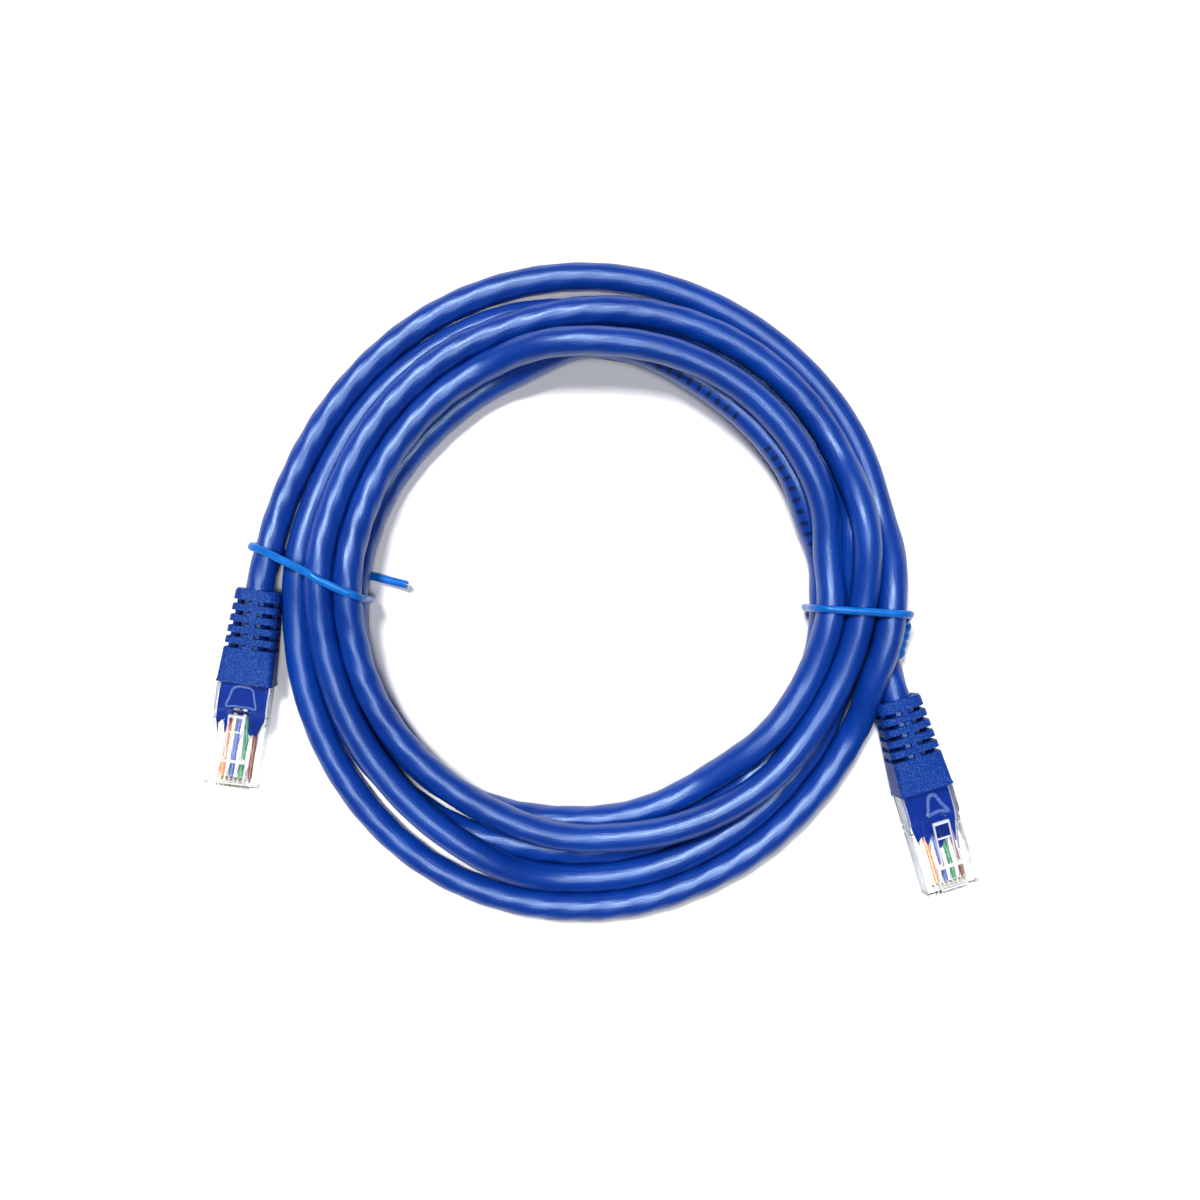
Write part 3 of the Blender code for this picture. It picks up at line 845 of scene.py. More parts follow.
def sweep(name: str, line: np.ndarray, sides: int, radius: float | Radius) -> bpy.types.Object:
    """Sweep a round section along a line as a capped tube that knows its own lay.

    Args:
        name: The piece's name.
        line: The centreline's points.
        sides: How many sides the section has.
        radius: The radius, or what gives it from the distance along and the angle around.

    Returns:
        The tube, with a "lay" attribute of distance along and share of a turn around.
    """
    ahead = np.gradient(line, axis=0)
    ahead /= np.linalg.norm(ahead, axis=1)[:, None]
    side = np.cross(ahead[0], (0.0, 0.0, 1.0))
    across = [side / np.linalg.norm(side)]
    for now in ahead[1:]:
        turned = across[-1] - now * across[-1].dot(now)
        across.append(turned / np.linalg.norm(turned))
    first = np.array(across)
    second = np.cross(first, ahead)
    along = np.r_[0.0, np.cumsum(np.linalg.norm(np.diff(line, axis=0), axis=1))]
    angle = np.arange(sides) * 2 * math.pi / sides
    reach = radius(along[:, None], angle[None, :]) if callable(radius) else radius
    wide = np.broadcast_to(reach, (len(line), sides))[..., None]
    turned = angle[None, :, None]
    spread = first[:, None, :] * np.cos(turned) + second[:, None, :] * np.sin(turned)
    verts = (line[:, None, :] + spread * wide).reshape(-1, 3)
    faces = []
    lay = []
    for i in range(len(line) - 1):
        for k in range(sides):
            n = (k + 1) % sides
            faces.append((i * sides + k, i * sides + n, (i + 1) * sides + n, (i + 1) * sides + k))
            lay += [(along[i], k / sides, 0), (along[i], (k + 1) / sides, 0)]
            lay += [(along[i + 1], (k + 1) / sides, 0), (along[i + 1], k / sides, 0)]
    last = (len(line) - 1) * sides
    faces.append(tuple(range(sides))[::-1])
    faces.append(tuple(last + k for k in range(sides)))
    lay += [(0.0, 0.0, 0.0)] * sides + [(along[-1], 0.0, 0.0)] * sides
    data = bpy.data.meshes.new(name)
    data.from_pydata(verts.tolist(), [], faces)
    data.attributes.new("lay", "FLOAT_VECTOR", "CORNER").data.foreach_set("vector", np.ravel(lay))
    made = placed(name, data)
    turn = bmesh.new()
    turn.from_mesh(data)
    if turn.calc_volume(signed=True) < 0:
        bmesh.ops.reverse_faces(turn, faces=turn.faces)
        turn.to_mesh(data)
    turn.free()
    shade(made, angle=50.0)
    return made


# ----------------------------------------
# The cable


@dataclass
class PatchCord:
    """The jacketed cable: five and a half clockwise turns from plug a to plug b, settled by their weight."""

    finishes: Finishes
    centre: Flat = (0.34 * MM, 0.11 * MM)
    first_angle: float = 150.0
    angle_step: float = 30.0
    step: float = 2.5 * MM
    ring_spacing: float = 1.2 * MM
    sides: int = 20
    apart: float = 6.42 * MM
    near: float = 1.7
    neighbours: int = 8
    search: int = 8
    springiness: Point = (0.3, 0.3, 0.4)
    push_share: float = 1.2
    tie_radius: float = 1.1 * MM
    tie_lift: float = 2.1
    tie_reach: float = 8.0 * MM
    clearance: float = 0.1 * MM
    straight: float = 3.0 * MM
    pair_lay: float = 34.0 * MM
    lump: float = 0.085 * MM
    drift: float = 0.03 * MM
    head: tuple[Point, ...] = ((-72.7, 7.8, 5.6), (-71.0, 15.0, 4.6), (-68.6, 22.2, 3.4), (-65.5, 29.1, 3.2))
    tail: tuple[Point, ...] = ((64.3, -7.5, 4.2), (65.9, -16.5, 4.6))
    turns: tuple[Flat, ...] = (
        (71.7, 3.2), (71.5, 3.2), (70.8, 3.2), (69.0, 3.2), (67.7, 3.2), (65.5, 11.0),
        (66.5, 7.5), (68.5, 3.2), (71.0, 3.2), (71.8, 3.2), (69.5, 3.2), (66.8, 3.2),
        (65.3, 3.2), (64.7, 3.2), (62.0, 3.2), (61.2, 3.2), (59.9, 3.2), (57.9, 6.9),
        (59.5, 3.2), (62.1, 3.2), (64.5, 3.4), (62.8, 9.5), (61.3, 9.4), (60.5, 9.6),
        (60.4, 9.3), (61.2, 8.8), (62.0, 9.4), (62.7, 9.5), (61.8, 9.3), (59.1, 13.7),
        (57.5, 9.3), (56.1, 9.6), (54.9, 8.9), (53.9, 9.5), (54.5, 9.4), (54.1, 9.5),
        (54.0, 9.2), (54.9, 8.8), (54.2, 15.4), (54.4, 15.5), (53.7, 15.4), (52.3, 10.5),
        (51.1, 9.2), (50.3, 6.5), (51.7, 3.2), (54.5, 3.2), (55.8, 3.2), (53.8, 3.2),
        (52.3, 3.2), (52.5, 3.2), (54.8, 9.1), (52.2, 9.5), (51.3, 9.5), (52.3, 3.4),
        (53.0, 3.2), (55.7, 3.2), (58.2, 3.2), (61.8, 3.2), (62.7, 3.2), (60.2, 3.2),
        (58.6, 3.2), (58.4, 3.2), (55.6, 3.2), (53.3, 3.2), (52.4, 3.2), (63.2, 3.2),
    )
    under_ties: tuple[tuple[Flat, Flat], ...] = (
        ((-75.2, 9.6), (-46.0, 2.5)),
        ((47.0, -3.9), (70.0, -5.3)),
    )
    line: np.ndarray = field(default_factory=lambda: np.zeros((0, 3)))

    def route(self) -> np.ndarray:
        """Lay out the cable as it was wound, before it settles.

        Returns:
            Points along the cable, from boot to boot.
        """
        start, end = PLACES
        points = [start.point(0, 0, 0), start.point(0, -self.straight, 0)]
        points += [np.array(p) * MM for p in self.head]
        for k, (radius, height) in enumerate(self.turns):
            angle = math.radians(self.first_angle - self.angle_step * k)
            x = self.centre[0] + radius * MM * math.cos(angle)
            y = self.centre[1] + radius * MM * math.sin(angle)
            points.append(np.array((x, y, height * MM)))
        points += [np.array(p) * MM for p in self.tail]
        points += [end.point(0, -self.straight, 0), end.point(0, 0, 0)]
        return smooth_line(np.array(points), self.step)

    def floor(self, line: np.ndarray) -> np.ndarray:
        """Find how low the cable's middle can lie, as it rests over the ties' wire.

        Args:
            line: The cable's points.

        Returns:
            The lowest height at each point.
        """
        lift = np.zeros(len(line))
        for first, second in self.under_ties:
            a, b = np.array(first) * MM, np.array(second) * MM
            share = np.clip(((line[:, :2] - a) @ (b - a)) / ((b - a) @ (b - a)), 0, 1)
            away = np.linalg.norm(line[:, :2] - a - share[:, None] * (b - a), axis=1)
            lift = np.maximum(lift, self.tie_lift * self.tie_radius * np.exp(-((away / self.tie_reach) ** 2)))
        return CABLE_RADIUS + self.clearance + lift

    def meetings(self, line: np.ndarray) -> tuple[np.ndarray, np.ndarray]:
        """Return the pairs of points on different turns that are near enough to meet."""
        away = np.linalg.norm(line[:, None, :] - line[None, :, :], axis=2)
        return np.nonzero(np.triu(away < self.near * self.apart, self.neighbours))

    def straighten(self, line: np.ndarray) -> None:
        """Ease the changes of bend along the line, as a springy cable does.

        Args:
            line: The cable's points, which are changed.
        """
        bend = np.zeros_like(line)
        bend[1:-1] = (line[:-2] + line[2:]) / 2 - line[1:-1]
        change = np.zeros_like(line)
        change[1:-1] = (bend[:-2] + bend[2:]) / 2 - bend[1:-1]
        line -= change * self.springiness

    def push_apart(self, line: np.ndarray, first: np.ndarray, second: np.ndarray) -> None:
        """Move points that are too near each other apart.

        Args:
            line: The cable's points, which are changed.
            first: One point of each pair that may meet.
            second: The other point of each pair.
        """
        count = len(line)
        gap = line[second] - line[first]
        away = np.linalg.norm(gap, axis=1)
        hit = away < self.apart
        push = gap[hit] / away[hit, None] * ((self.apart - away[hit]) / 2)[:, None]
        low, high = first[hit], second[hit]
        met = np.bincount(low, minlength=count) + np.bincount(high, minlength=count)
        for axis in range(3):
            move = np.bincount(high, push[:, axis], count) - np.bincount(low, push[:, axis], count)
            line[:, axis] += self.push_share * move / np.maximum(met, 1)

    def settle(self, line: np.ndarray, rounds: int, weight: float, hold: float) -> np.ndarray:
        """Let the cable sink and keep its turns off each other.

        Args:
            line: The cable's points.
            rounds: How many steps to take.
            weight: How far a point sinks in one step.
            hold: How strongly a point stays at its place in plan.

        Returns:
            The settled points.
        """
        start = line.copy()
        fixed = np.r_[0:4, len(line) - 4 : len(line)]
        first = second = np.zeros(0, int)
        for k in range(rounds):
            if k % self.search == 0:
                first, second = self.meetings(line)
            line[:, 2] -= weight
            line[:, :2] += (start[:, :2] - line[:, :2]) * hold
            self.straighten(line)
            for _ in range(2):
                self.push_apart(line, first, second)
                line[:, 2] = np.maximum(line[:, 2], self.floor(line))
            line[fixed] = start[fixed]
        return line

    def girth(self, along: np.ndarray, around: np.ndarray) -> np.ndarray:
        """Give the jacket's radius: the four twisted pairs inside show as soft lumps on a long spiral.

        Args:
            along: Distances along the cable.
            around: Angles round it.

        Returns:
            The radius at each distance and angle.
        """
        spiral = 2 * math.pi * along / self.pair_lay
        lumps = np.cos(4 * around - 4 * spiral) * (0.6 + 0.4 * np.sin(along / (47.0 * MM) + 1.0))
        slow = np.sin(along / (11.0 * MM) + 2 * np.cos(around)) * np.cos(along / (29.0 * MM))
        return CABLE_RADIUS + self.lump * lumps + self.drift * slow

    def length(self) -> float:
        """Return the settled cable's length."""
        return float(np.linalg.norm(np.diff(self.line, axis=0), axis=1).sum())

    def build(self) -> bpy.types.Object:
        """Returns:
            The cable's tube.
        """
        line = self.settle(self.route(), rounds=160, weight=0.03 * MM, hold=0.05)
        line = self.settle(line, rounds=60, weight=0.0, hold=0.03)
        self.line = line
        rings = evenly(smooth_line(line, spacing=0.6 * MM), spacing=self.ring_spacing)
        tube = sweep("cable_jacket_tube", rings, sides=self.sides, radius=self.girth)
        self.finishes.dress(tube, "cable_jacket")
        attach(tube, "root")
        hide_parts("cable_coil", "lead_a", "lead_b")
        away = np.linalg.norm(line[:, None, :] - line[None, :, :], axis=2)
        apart = away[np.triu_indices(len(line), self.neighbours)].min()
        LOG.info("cable %.1f mm long, its turns at least %.2f mm apart", self.length() / MM, apart / MM)
        return tube


# ----------------------------------------
# Boots and plugs


def rounded_ring(width: float, height: float, corner: float, y: float) -> list[Point]:
    """Make a rounded rectangle across the plug.

    Args:
        width: Its width.
        height: Its height.
        corner: Its corners' radius.
        y: Where it is along the plug.

    Returns:
        Its points in order.
    """
    ring = []
    for sx, sz, start in ((1, 1, 0), (-1, 1, 90), (-1, -1, 180), (1, -1, 270)):
        for k in range(7):
            turn = math.radians(start + 15 * k)
            x = sx * (width / 2 - corner) + corner * math.cos(turn)
            z = sz * (height / 2 - corner) + corner * math.sin(turn)
            ring.append((x, y, z))
    return ring


@dataclass
class Boot:
    """The ribbed boot: a collar, ten slots beside a spine and a plain block that grips the plug."""

    place: Place
    finishes: Finishes
    rear: Point = (10.0 * MM, 8.8 * MM, 2.6 * MM)
    front: Point = (12.2 * MM, 9.3 * MM, 0.9 * MM)
    lip: float = 0.22 * MM
    lip_run: Flat = (0.7 * MM, 0.5 * MM)
    chamfer_run: float = 0.6 * MM
    chamfer: float = 0.5 * MM
    bore: float = 3.5 * MM
    collar: float = 2.5 * MM
    slot: float = 1.0 * MM
    pitch: float = 2.45 * MM
    slots: int = 5
    spine: float = 1.3 * MM
    web: Flat = (-2.2 * MM, 0.6 * MM)
    notch: float = 0.60 * MM
    notch_level: Flat = (-3.0 * MM, 2 * MM)
    reach: float = 9 * MM

    def body(self) -> bpy.types.Object:
        """Make the solid sleeve.

        Returns:
            The sleeve, in the plug's own frame.
        """
        rings = []
        stops = [0.0, self.chamfer_run, self.collar]
        stops += [self.collar + self.pitch * k for k in range(1, self.slots + 1)]
        stops += [BOOT_LENGTH - self.lip_run[0], BOOT_LENGTH - self.lip_run[1], BOOT_LENGTH]
        for k, y in enumerate(stops):
            share = y / BOOT_LENGTH
            size = [a + (b - a) * share for a, b in zip(self.rear, self.front)]
            grow = self.lip if k > len(stops) - 3 else 0.0
            shrink = self.chamfer if k == 0 else 0.0
            rings.append(rounded_ring(size[0] + grow - shrink, size[1] + grow - shrink, size[2], y))
        bm = bmesh.new()
        loft(bm, rings)
        return piece_from(bm, f"boot_sleeve_{self.place.tag.value}")

    def cutters(self) -> list[bpy.types.Object]:
        """Make the bore, the slots above and below the spine and the notches in the sides.

        Returns:
            The solids to cut from the sleeve.
        """
        bm = bmesh.new()
        turn = Matrix.Translation((0, BOOT_LENGTH / 2, 0)) @ Matrix.Rotation(math.pi / 2, 4, "X")
        depth = BOOT_LENGTH + 4 * MM
        bmesh.ops.create_cone(
            bm, cap_ends=True, segments=48, radius1=self.bore, radius2=self.bore, depth=depth, matrix=turn
        )
        made = [piece_from(bm, "bore_cutter")]
        rows = (
            ("upper", 0.0, self.slots, (self.web[1], self.reach)),
            ("lower", self.pitch / 2, self.slots - 1, (-self.reach, self.web[0])),
        )
        for name, shift, count, level in rows:
            starts = [self.collar + shift + k * self.pitch for k in range(count)]
            across = (self.spine / 2, self.reach)
            boxes = [side_box(side, across, (y, y + self.slot), level) for side in (-1, 1) for y in starts]
            made.append(cutter(f"{name}_slot_cutter", boxes))
        boxes = []
        for side in (-1, 1):
            for k in range(self.slots):
                y = self.collar + k * self.pitch
                share = y / BOOT_LENGTH
                half = (self.rear[0] + (self.front[0] - self.rear[0]) * share) / 2 - self.notch
                boxes.append(side_box(side, (half, self.reach), (y, y + self.slot), self.notch_level))
        made.append(cutter("side_notch_cutter", boxes))
        return made

    def build(self) -> bpy.types.Object:
        """Build the boot.

        Returns:
            The boot.
        """
        tag = self.place.tag.value
        boot = self.body()
        carve(boot, self.cutters())
        boot.data.transform(self.place.matrix())
        round_edges(boot, width=0.26 * MM, segments=3)
        shade(boot)
        self.finishes.dress(boot, "eroded_boot")
        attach(boot, "root")
        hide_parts(f"boot_{tag}")
        self.finishes.repaint(f"jacket_end_{tag}", "jacket_inside_boot")
        return boot


MOULD_EDGES: dict[Tag, tuple[Flat, ...]] = {
    Tag.A: (
        (5.2, 0.0), (5.2, 7.0), (4.9, 8.6), (4.6, 9.2), (4.2, 8.2), (3.8, 8.0), (3.5, 9.6), (3.2, 11.3),
        (2.8, 9.0), (2.2, 7.6), (1.9, 5.3), (-1.7, 5.3), (-1.9, 8.0), (-2.0, 10.6), (-2.5, 11.3),
        (-3.0, 10.9), (-3.8, 11.2), (-4.1, 10.2), (-4.5, 8.8), (-5.2, 7.2), (-5.2, 0.0),
    ),
    Tag.B: (
        (5.2, 0.0), (5.2, 7.2), (4.7, 10.8), (4.0, 10.0), (3.3, 9.6), (2.4, 12.0), (1.6, 10.4), (0.9, 9.2),
        (0.4, 11.2), (-0.2, 13.6), (-1.0, 12.2), (-2.2, 11.0), (-3.1, 11.6), (-3.9, 12.8), (-4.3, 10.4),
        (-5.0, 7.0), (-5.2, 0.0),
    ),
}


RELIEF_PATHS: dict[Tag, tuple[Flat, ...]] = {
    Tag.A: (
        (0, 4.9), (2.0, 4.8), (3.1, 5.0), (2.7, 2.8), (2.1, 0.9), (1.1, 0.35), (0, 0.3),
        (-1.1, 0.35), (-2.1, 0.9), (-2.7, 2.8), (-3.1, 5.0), (-2.0, 4.8), (0, 4.9),
    ),
    Tag.B: (
        (1.6, 5.2), (0.9, 3.2), (-0.3, 0.9), (-0.9, 0.9), (-2.1, 3.0), (-3.2, 5.2), (-1.6, 4.8), (0.2, 4.9),
        (1.6, 5.2),
    ),
}
LATCH_OUTER = mirrored(((3.1, 0.7), (3.1, -5.0), (1.85, -5.6), (1.9, -15.3)))
LATCH_INNER = mirrored(((2.85, 0.4), (2.85, -4.7), (1.6, -5.3), (1.6, -14.8)))
CHAMBER_EDGE = mirrored(((5.3, -1.0), (5.3, 8.0), (4.7, 11.5), (4.4, 14.6)))


def pinch(y: float) -> float:
    """Return how much of its full height the chamber keeps at a distance from the joint, in metres."""
    share = min(max((y / MM - 8.0) / 6.6, 0.0), 1.0)
    return 1.0 - 0.62 * share


@dataclass
class Plug:
    """The clear eight-contact plug with its blue filling, wires, strain relief and latch."""

    place: Place
    finishes: Finishes
    width: float = 11.68 * MM
    low: float = -3.9 * MM
    top: float = 2.7 * MM
    rear_top: float = 4.0 * MM
    rear_block: float = 5.6 * MM
    chamber: Flat = (-3.0 * MM, 1.8 * MM)
    middle: float = -0.9 * MM
    wire_level: float = -1.0 * MM
    wire_radius: float = 0.46 * MM
    pin_pitch: float = 1.02 * MM
    blade_slot: float = 0.6 * MM
    notches: Flat = (6.6 * MM, 8.3 * MM)
    notch: float = 0.3 * MM
    hinge: Point = (0.0, NOSE - 1.6 * MM, 3.65 * MM)
    rise: float = 13.5
    rib_rise: float = 0.3

    @property
    def rib(self) -> float:
        """Half the width of the strain relief's ribs: thin lines on plug a, broad bands on plug b."""
        return (0.26 if self.place.tag is Tag.A else 0.42) * MM

    @property
    def tag(self) -> str:
        """The plug's letter."""
        return self.place.tag.value

    def contact_x(self, number: int) -> float:
        """Return how far a contact is from the plug's middle."""
        return (4.5 - number) * self.pin_pitch

    def pinched(self, edge: Sequence[Flat], z: float) -> list[Point]:
        """Raise a plan outline in millimetres to a level of the chamber, which narrows towards the nose."""
        return [(x * MM, JOINT + y * MM, self.middle + (z - self.middle) * pinch(y * MM)) for x, y in edge]

    def finish(self, piece: bpy.types.Object, names: Sequence[str], body: str, node: str) -> bpy.types.Object:
        """Put a piece in its place, dress it, tie it to its body and hide the CAD node it stands for.

        Args:
            piece: The piece, in the plug's own frame.
            names: Its finishes, in order of material index.
            body: The body it rides on.
            node: The CAD node it stands for.

        Returns:
            The piece.
        """
        piece.data.transform(self.place.matrix())
        self.finishes.dress(piece, *names)
        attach(piece, body)
        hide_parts(node)
        return piece

    def shell_cutters(self) -> list[bpy.types.Object]:
        """Make the chamber, wire slot, blade slots, side notches and top recess to cut from the shell.

        Returns:
            The solids to cut with.
        """
        bm = bmesh.new()
        loft(bm, [self.pinched(CHAMBER_EDGE, z) for z in self.chamber])
        chamber = piece_from(bm, "chamber_cutter")
        wires = ((-4.25 * MM, JOINT + 13.0 * MM, -1.75 * MM), (4.25 * MM, NOSE - 1.6 * MM, -0.3 * MM))
        half = self.blade_slot / 2
        blades = [
            ((x - half, NOSE - 6.9 * MM, self.low - 2 * MM), (x + half, NOSE - 0.6 * MM, -1.6 * MM))
            for x in map(self.contact_x, CONTACTS)
        ]
        notches = [
            side_box(side, (5.5 * MM, 7.0 * MM), (JOINT + y, JOINT + y + self.notch), (-6 * MM, 6 * MM))
            for side in (-1, 1)
            for y in self.notches
        ]
        recess = ((-3.3 * MM, JOINT + 7.4 * MM, 2.2 * MM), (3.3 * MM, NOSE - 2.6 * MM, 6 * MM))
        return [
            chamber,
            cutter("wire_slot_cutter", [wires]),
            cutter("blade_slot_cutter", blades),
            cutter("notch_cutter", notches),
            cutter("latch_recess_cutter", [recess]),
        ]

    def shell(self) -> bpy.types.Object:
        """Build the clear shell.

        Returns:
            The shell.
        """
        step = JOINT + self.rear_block
        bevel = 0.5 * MM
        outline = (
            (JOINT, self.low),
            (NOSE - bevel, self.low),
            (NOSE, self.low + bevel),
            (NOSE, self.top - bevel),
            (NOSE - bevel, self.top),
            (step + 1.2 * MM, self.top),
            (step, self.rear_top),
            (JOINT, self.rear_top),
        )
        half = self.width / 2
        bm = bmesh.new()
        loft(bm, [[(x, y, z) for y, z in outline] for x in (-half, half)])
        shell = piece_from(bm, f"clear_shell_{self.tag}")
        carve(shell, self.shell_cutters())
        # The side walls get the painted shade side finish: a grey-blue tint for the shade and the mould's
        # blue that these clear walls show edge-on.
        for face in shell.data.polygons:
            if abs(face.normal.x) > 0.9 and abs(face.center.x) > half - 0.05 * MM:
                face.material_index = 1
        self.finish(shell, ("clear_plastic", "painted_shade_side"), "root", f"housing_{self.tag}")
        round_edges(shell, width=0.11 * MM, segments=2)
        shade(shell)
        return shell

    def mould(self) -> bpy.types.Object:
        """Build the blue filling, whose front edge runs out between the wires.

        Returns:
            The filling.
        """
        bm = bmesh.new()
        levels = (self.chamber[0] + 0.15 * MM, self.chamber[1] - 0.12 * MM)
        loft(bm, [self.pinched(MOULD_EDGES[self.place.tag], z) for z in levels])
        made = piece_from(bm, f"blue_filling_{self.tag}")
        self.finish(made, ("inner_mould",), "root", f"inner_mould_{self.tag}")
        round_edges(made, width=0.16 * MM, segments=2)
        shade(made)
        return made

    def relief(self) -> bpy.types.Object:
        """Build the strain relief's arched outline in the top of the shell.

        Returns:
            The relief.
        """
        top = self.rear_top + 0.02 * MM
        line = np.array([(x * MM, JOINT + y * MM, top) for x, y in RELIEF_PATHS[self.place.tag]])
        even = evenly(smooth_line(line, spacing=0.1 * MM), spacing=0.25 * MM)
        made = sweep(f"relief_arch_{self.tag}", even, sides=10, radius=self.rib)
        for vertex in made.data.vertices:
            vertex.co.z = top + self.rib_rise * (vertex.co.z - top)
        # The arch is drawn in painted light: the pale lines that the strain relief's edges show in the clear
        # top.
        return self.finish(made, ("painted_rib_light",), "root", f"relief_bar_{self.tag}")

    def latch(self) -> bpy.types.Object:
        """Build the latch: a thin lever with a raised rim, a cross bar and a shoulder.

        Returns:
            The latch.
        """
        bm = bmesh.new()
        loft(bm, [[(x * MM, y * MM, z) for x, y in LATCH_INNER] for z in (-0.22 * MM, 0.12 * MM)])
        plain = len(bm.faces)
        rim = ((LATCH_OUTER, -0.42), (LATCH_OUTER, 0.42), (LATCH_INNER, 0.42), (LATCH_INNER, -0.42))
        loops = [[bm.verts.new((x * MM, y * MM, z * MM)) for x, y in edge] for edge, z in rim]
        for first, second in zip(loops, loops[1:] + loops[:1]):
            bridge(bm, first, second)
        slab(bm, (-1.5 * MM, -11.6 * MM, -0.3 * MM), (1.5 * MM, -11.3 * MM, 0.3 * MM))
        slab(bm, (-3.0 * MM, -4.9 * MM, -0.3 * MM), (3.0 * MM, -4.3 * MM, 0.34 * MM))
        bm.faces.ensure_lookup_table()
        # The rim, cross bar and shoulder get the painted edge light.
        for face in bm.faces[plain:]:
            face.material_index = 1
        made = piece_from(bm, f"latch_lever_{self.tag}")
        raised = Matrix.Rotation(math.radians(-self.rise), 4, "X")
        made.data.transform(Matrix.Translation(self.hinge) @ raised)
        self.finish(made, ("clear_plastic", "painted_edge_light"), f"latch_{self.tag}", f"latch_{self.tag}")
        round_edges(made, width=0.08 * MM, segments=2)
        shade(made)
        return made

    def wire(self, number: int) -> bpy.types.Object:
        """Build one insulated wire, from inside the filling to the end of the wire slot.

        Args:
            number: The contact that it goes to, from 1 to 8.

        Returns:
            The wire.
        """
        x = self.contact_x(number)
        pull = 0.35 * MM * math.sin(2.4 * number)
        lift = 0.45 * MM * (1 if number % 2 else -1)
        stops = (
            (0.80 * x + pull, 4.0, self.wire_level + lift),
            (0.86 * x + pull, 7.5, self.wire_level + 0.8 * lift),
            (0.95 * x, 10.5, self.wire_level + 0.3 * lift),
            (x, 13.5, self.wire_level),
            (x, 17.0, self.wire_level),
            (x, 20.9, self.wire_level),
        )
        line = smooth_line(np.array([(a, JOINT + b * MM, c) for a, b, c in stops]), spacing=0.4 * MM)
        made = sweep(f"wire_{self.tag}{number}", line, sides=14, radius=self.wire_radius)
        return self.finish(made, (WIRES[number - 1].name,), "root", f"conductor_{self.tag}{number}")

    def build(self) -> list[bpy.types.Object]:
        """Build the whole plug.

        Returns:
            Its pieces.
        """
        made = [self.shell(), self.mould(), self.relief(), self.latch()]
        made += [self.wire(number) for number in CONTACTS]
        for number in CONTACTS:
            self.finishes.repaint(f"contact_{self.tag}{number}", "gold_plating")
        return made


# ----------------------------------------
# Wire ties


def hull(points: np.ndarray) -> np.ndarray:
    """Find the convex hull of plane points.

    Args:
        points: The points.

    Returns:
        The hull's corners, counter-clockwise from the leftmost.
    """
    ordered = sorted(map(tuple, points))

    def half(run: Iterable[Flat]) -> list[Flat]:
        """Walk one side of the hull.

        Args:
            run: The points, in order of x.

        Returns:
            That side's corners.
        """
        made: list[Flat] = []
        for p in run:
            while len(made) > 1:
                (ax, ay), (bx, by) = made[-2], made[-1]
                if (bx - ax) * (p[1] - ay) - (by - ay) * (p[0] - ax) > 0:
                    break
                made.pop()
            made.append(p)
        return made

    return np.array(half(ordered)[:-1] + half(ordered[::-1])[:-1])


